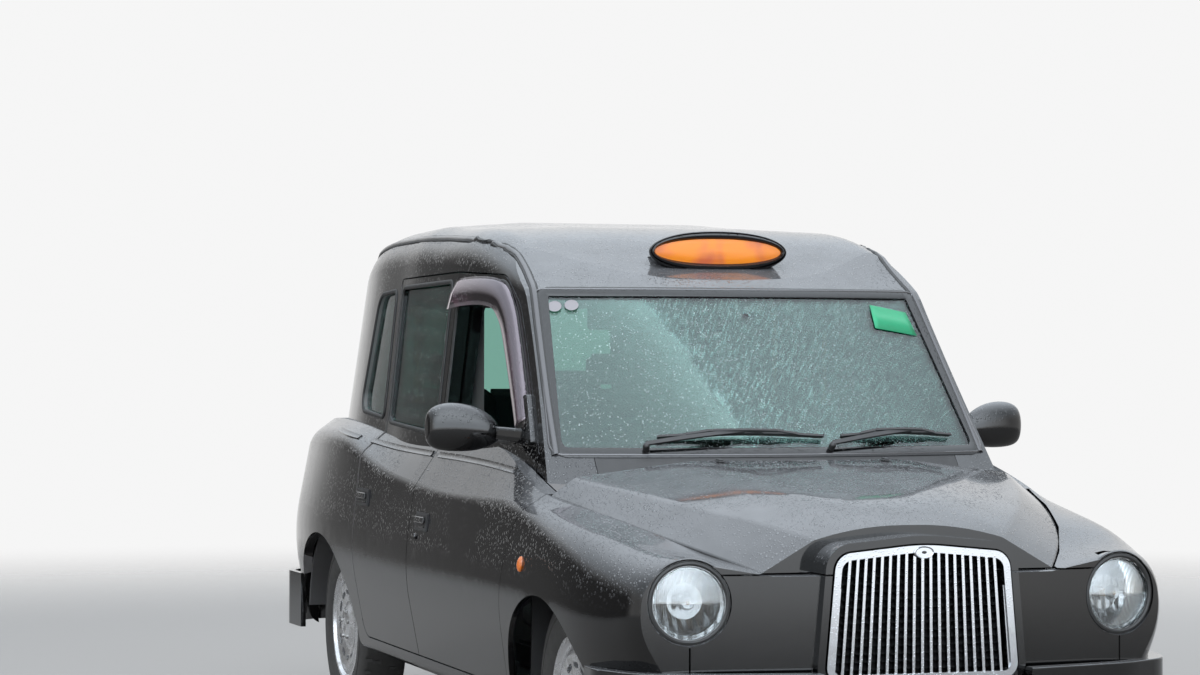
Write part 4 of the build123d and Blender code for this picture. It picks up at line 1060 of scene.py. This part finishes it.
def add_seats():
    """Driver's seat, rear bench and the two folded tip-up seats."""
    x = DRIVER_X
    seams = (-0.12, 0.12)
    seat = cushion("driver_seat_base", (0.44, 0.44, 0.125), at(x, -0.405, 0.485, 4), channels=seams)
    cushion("driver_seat_back", (0.43, 0.60, 0.085), at(x, -0.165, 0.845, 80), channels=seams)
    cushion("driver_headrest", (0.23, 0.055, 0.15), at(x, -0.098, 1.236, -6), 0.008, 0.008, (), 0.025)
    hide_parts("driver_seat")
    base = Shape().block((0.42, 0.42, 0.085), at(x, -0.375, 0.368), 0.012)
    for side in (-0.06, 0.06):
        base.block((0.012, 0.012, 0.10), at(x + side, -0.098, 1.145), 0.004)
    base.piece("driver_seat_base_frame", "body", DARK_TRIM, slot="interior_plastic")
    wide = (0.016, 0.018, (-0.18, 0.18))
    bench = cushion("rear_bench_base", (1.06, 0.40, 0.125), at(0, 1.225, 0.655, 4), *wide)
    cushion("rear_bench_back", (1.06, 0.52, 0.09), at(0, 1.500, 0.995, 76), *wide)
    for label, side in PASSENGER_SIDES:
        cushion(f"rear_headrest_{label}", (0.21, 0.05, 0.13), at(side * 0.33, 1.580, 1.302), 0.008, 0.008,
                (), 0.022)
    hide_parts("rear_bench")
    plinth = Shape().block((1.08, 0.50, 0.025), at(0, 1.290, 0.580), 0.008)
    plinth.piece("rear_bench_plinth", "body", DARK_TRIM, slot="interior_plastic")
    tips = Shape()
    for label, side in PASSENGER_SIDES:
        cushion(f"tip_seat_pad_{label}", (0.40, 0.40, 0.040), at(side * 0.33, 0.084, 0.70, 90), 0.010, 0.010,
                (), 0.016)
        tips.block((0.41, 0.016, 0.42), at(side * 0.33, 0.118, 0.70), 0.006)
    boards = tips.piece("tip_seat_boards", "body", DARK_TRIM, slot="interior_plastic")
    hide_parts("tip_up_seats")


COLUMN_TOP = Vector((DRIVER_X, -0.690, 0.987))
COLUMN_FOOT = Vector((DRIVER_X, -1.000, 0.812))
RIM = 0.185
GRIP = 0.0135


def add_steering_wheel():
    """Rim, three spokes and boss, turning about the column."""
    place = facing(COLUMN_TOP, COLUMN_TOP - COLUMN_FOOT)
    wheel = Shape()
    turns = [2 * pi * k / 16 for k in range(17)]
    wheel.turned([(GRIP * sin(turn), RIM + GRIP * cos(turn)) for turn in turns], 96, place)
    for angle in (90, 210, 330):
        spoke = place @ at(0, 0, 0, 0, 0, angle)
        wheel.block((0.150, 0.036, 0.012), spoke @ at(0.105, 0, -0.004, 0, 4), 0.005, 0, 3)
    boss = [(0.018, 0.0), (0.017, 0.035), (0.010, 0.056), (-0.004, 0.062), (-0.013, 0.058)]
    wheel.turned(boss, 40, place)
    made = wheel.piece("steering_wheel_rim", "steering", DARK_TRIM, slot="interior_plastic")
    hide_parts("steering_wheel")


def add_dashboard_parts():
    """Instrument hood, vents, radio slot and a panel of plain switches."""
    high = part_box("dashboard")[1]
    face_y = high.y
    parts = Shape()
    for step in range(12):
        angle = pi * step / 11
        parts.block((0.014, 0.150, 0.036), at(DRIVER_X + 0.150 * cos(angle), face_y - 0.085,
                    high.z - 0.020 + 0.075 * sin(angle), 0, 90 - angle * 180 / pi), 0.004)
    for x in (-0.60, -0.13, 0.13, 0.58):
        for k in range(5):
            slat = at(x, face_y - 0.006, high.z - 0.052 - 0.010 * k, 24)
            parts.block((0.110, 0.012, 0.004), slat, 0.001, 1)
    parts.block((0.190, 0.020, 0.055), at(0.0, face_y - 0.004, 0.905), 0.004, 1)
    for k in range(6):
        parts.block((0.022, 0.016, 0.014), at(-0.075 + 0.030 * k, face_y + 0.004, 0.868), 0.003)
    parts.piece("dashboard_parts", "body", DARK_TRIM, GLOSS_BLACK, slot="interior_plastic")


def add_cabin_fittings():
    """Rear-view mirror, sun visors, grab handles and partition frames."""
    point = on_screen(0, 1.470)[0]
    inside = Shape()
    inside.block((0.235, 0.022, 0.062), at(0, point.y + 0.085, 1.462, -12), 0.010, 0, 3)
    inside.block((0.022, 0.060, 0.018), at(0, point.y + 0.045, 1.482), 0.004)
    for x in (-0.32, 0.32):
        p, n = on_screen(x, 1.530)
        inside.block((0.360, 0.090, 0.012), facing(p - n * 0.060, n) @ at(0, -0.010, 0, 40), 0.005, 1)
    inside.piece("sun_visors_and_mirror", "body", DARK_TRIM, GREY_TRIM, slot="interior_plastic")
    rails = Shape()
    for side in (-1, 1):
        for y in (0.20, 0.70):
            rails.turned([(0, 0.011), (0.32, 0.011)], 12, at(side * 0.690, y, 1.20))
            for z in (1.20, 1.52):
                rails.block((0.035, 0.026, 0.030), at(side * 0.690, y, z), 0.006)
    rails.piece("grab_handles", "body", HANDLE_YELLOW, slot="interior_plastic")
    frames = Shape()
    for x in (-0.335, 0.335):
        for z in (1.529, 0.984):
            frames.block((0.600, 0.012, 0.024), at(x, 0.025, z), 0.003)
    frames.piece("partition_rails", "body", GREY_TRIM, slot="interior_plastic")


def add_mirror_glass():
    """Mirror plates at the back of each pod."""
    for side_name, side in SIDES.items():
        plate = Shape()
        place = at(side * 0.925, -0.6755, 1.130, -90, 0, side * 4)
        plate.turned([(0.0, 0.0), (0.0, 0.062), (0.002, 0.063)], 36,
                     place @ Matrix.Diagonal((1.22, 0.96, 1, 1)))
        plate.piece(f"mirror_glass_{side_name}", f"front_{side_name}_door", CHROME, slot="chrome")


EYE_STEPS = 80


def eye_loop(half, up, down, y):
    """Eye-shaped loop round the middle of the sign, with rounded ends."""
    loop = []
    for k in range(EYE_STEPS):
        turn = 2 * pi * k / EYE_STEPS
        x = copysign(abs(cos(turn)) ** 0.90, cos(turn)) * half
        loop.append(Vector((x, y, SIGN_MIDDLE + sin(turn) * (up if sin(turn) > 0 else down))))
    return loop


def add_sign_dressing():
    """Moulded shell of the roof sign with its double rolled lip, and the lit panel in it."""
    lip = SIGN_Y - 0.056
    shell = [
        (0.218, 0.040, 0.038, 0.006), (0.221, 0.046, 0.043, -0.004), (0.226, 0.054, 0.049, -0.010),
        (0.231, 0.060, 0.056, -0.006), (0.233, 0.063, 0.060, 0.002), (0.235, 0.065, 0.065, -0.005),
        (0.237, 0.067, 0.071, -0.002), (0.237, 0.068, 0.076, 0.010), (0.231, 0.066, 0.078, 0.030),
        (0.212, 0.058, 0.080, 0.065), (0.178, 0.044, 0.080, 0.100), (0.128, 0.020, 0.080, 0.135),
    ]
    rows = [eye_loop(half, up, down, lip + back) for half, up, down, back in shell]
    rim = Shape().grid(rows, True)
    rim.faces.append(list(range((len(shell) - 1) * EYE_STEPS, len(shell) * EYE_STEPS)))
    rim.wears.append(0)
    rim.piece("sign_rim", "body", GLOSS_BLACK, angle=radians(60))
    bulge = [(0.220, 0.045, 0.042, 0.004), (0.190, 0.038, 0.036, 0.001), (0.120, 0.024, 0.022, -0.001),
             (0.004, 0.001, 0.001, -0.002)]
    lit = Shape().grid([eye_loop(half, up, down, lip + back) for half, up, down, back in bulge], True)
    lit.piece("sign_panel", "body", SIGN_LIGHT)


# Studio
FLOOR_REACH = 14.0


def add_studio():
    """Pale floor that fades out, and three broad lamps."""
    floor_mesh = bpy.data.meshes.new("floor")
    corners = [(-1, -1), (1, -1), (1, 1), (-1, 1)]
    floor_mesh.from_pydata([(x * FLOOR_REACH, y * FLOOR_REACH, 0) for x, y in corners], [], [(0, 1, 2, 3)])
    floor = stand("floor", floor_mesh)
    ground = Finish("pale_floor", (0.40, 0.40, 0.40), 0.6, Specular_IOR_Level=0.2)
    away = ground.node("VectorMath", {"operation": "LENGTH"}, {0: ground.place()}, 1)
    ground.set("Alpha", 1 - ground.ramp(away, 5.5, 12.0))
    floor_mesh.materials.append(ground.material)
    for name, place, size, power in [
        ("overhead", (-1.0, -1.5, 6.5), 6.5, 170),
        ("front_fill", (-6.5, -7.5, 4.0), 4.5, 150),
        ("rear_fill", (6.0, 6.0, 4.5), 4.5, 120),
    ]:
        lamp = bpy.data.lights.new(name, "AREA")
        lamp.size = size
        lamp.energy = power
        made = stand(name, lamp)
        made.location = place
        made.rotation_euler = (Vector((0, 0, 0.7)) - Vector(place)).to_track_quat("-Z", "Y").to_euler()
        made.visible_glossy = False


# Brightness of the room round the cab, and the side on which its wall is dark
WALL_GLOW = 0.92
DARK_WALL_GLOW = 0.14
DARK_WALL = Vector((-0.62, 0.78, 0.0))
CEILING_GLOW = 1.5
ZENITH_GLOW = 2.0
FRONT_GLOW = 4.4
EVEN_LIGHT = 0.60


def add_sky():
    """Even light for the cab in a soft room: pale wall, dark on one side, bright in front and above."""
    world = bpy.data.worlds.new("studio")
    bpy.context.scene.world = world
    world.use_nodes = True
    room = Nodes(world.node_tree)
    look = room.node("TexCoord")
    height = room.node("SeparateXYZ", None, {0: look}, 2)
    view = Vector((-sin(CAMERA_AZIMUTH), cos(CAMERA_AZIMUTH), 0.0))
    ahead = room.node("VectorMath", {"operation": "DOT_PRODUCT"}, {0: look, 1: view}, 1)
    beside = room.node("VectorMath", {"operation": "DOT_PRODUCT"}, {0: look, 1: DARK_WALL}, 1)
    wall = WALL_GLOW - (WALL_GLOW - DARK_WALL_GLOW) * room.ramp(beside, 0.80, 0.93)
    front = room.ramp(0 - ahead, 0.25, 0.85) * room.ramp(height, -0.16, 0.02)
    ceiling = room.ramp(height, 0.12, 0.50)
    zenith = room.ramp(height, 0.50, 0.95)
    glow = wall * (1 - ceiling) * (1 - front) + ceiling * CEILING_GLOW + zenith * ZENITH_GLOW
    glow = glow + front * FRONT_GLOW
    paths = [room.node("LightPath", output=name) for name in (
        "Is Camera Ray", "Is Glossy Ray", "Is Transmission Ray")]
    seen = paths[0].most(paths[1]).most(paths[2])
    back = world.node_tree.nodes["Background"]
    cool = (ceiling + front).least(1.0) * seen
    room.feed(back.inputs["Color"], room.blend(cool, (1.0, 1.0, 1.0), (0.84, 0.92, 1.0)))
    room.feed(back.inputs["Strength"], glow * seen + EVEN_LIGHT * (1 - seen))


def add_camera():
    data = bpy.data.cameras.new("photo_camera")
    data.sensor_fit = "HORIZONTAL"
    data.sensor_width = SENSOR
    data.lens = PHOTO_FOCAL / PHOTO_WIDTH * SENSOR
    data.clip_end = 200
    camera = stand("photo_camera", data)
    camera.matrix_world = camera_matrix()
    bpy.context.scene.camera = camera


dress_nodes()
line_inside("roof_panel", LINING, (-0.8, -0.8, 1.3), (0.8, 1.9, 1.9))
for shell in ("side_frame_left", "side_frame_right", "rear_panel"):
    line_inside(shell, GREY_TRIM, (-0.9, -1.2, 0.5), (0.9, 2.1, 1.8))
add_camera()
add_studio()
add_sky()
add_gutters()
add_window_seals()
add_door_handles()
add_repeaters()
add_deflectors()
add_waist_bands()
add_wipers()
add_washer_jets()
add_headlamps()
add_grille_dressing()
add_plates()
add_bumper_strip()
add_tail_trim()
add_wheels()
add_seats()
add_steering_wheel()
add_dashboard_parts()
add_cabin_fittings()
add_mirror_glass()
add_sign_dressing()

bpy.context.scene.view_settings.view_transform = "Standard"
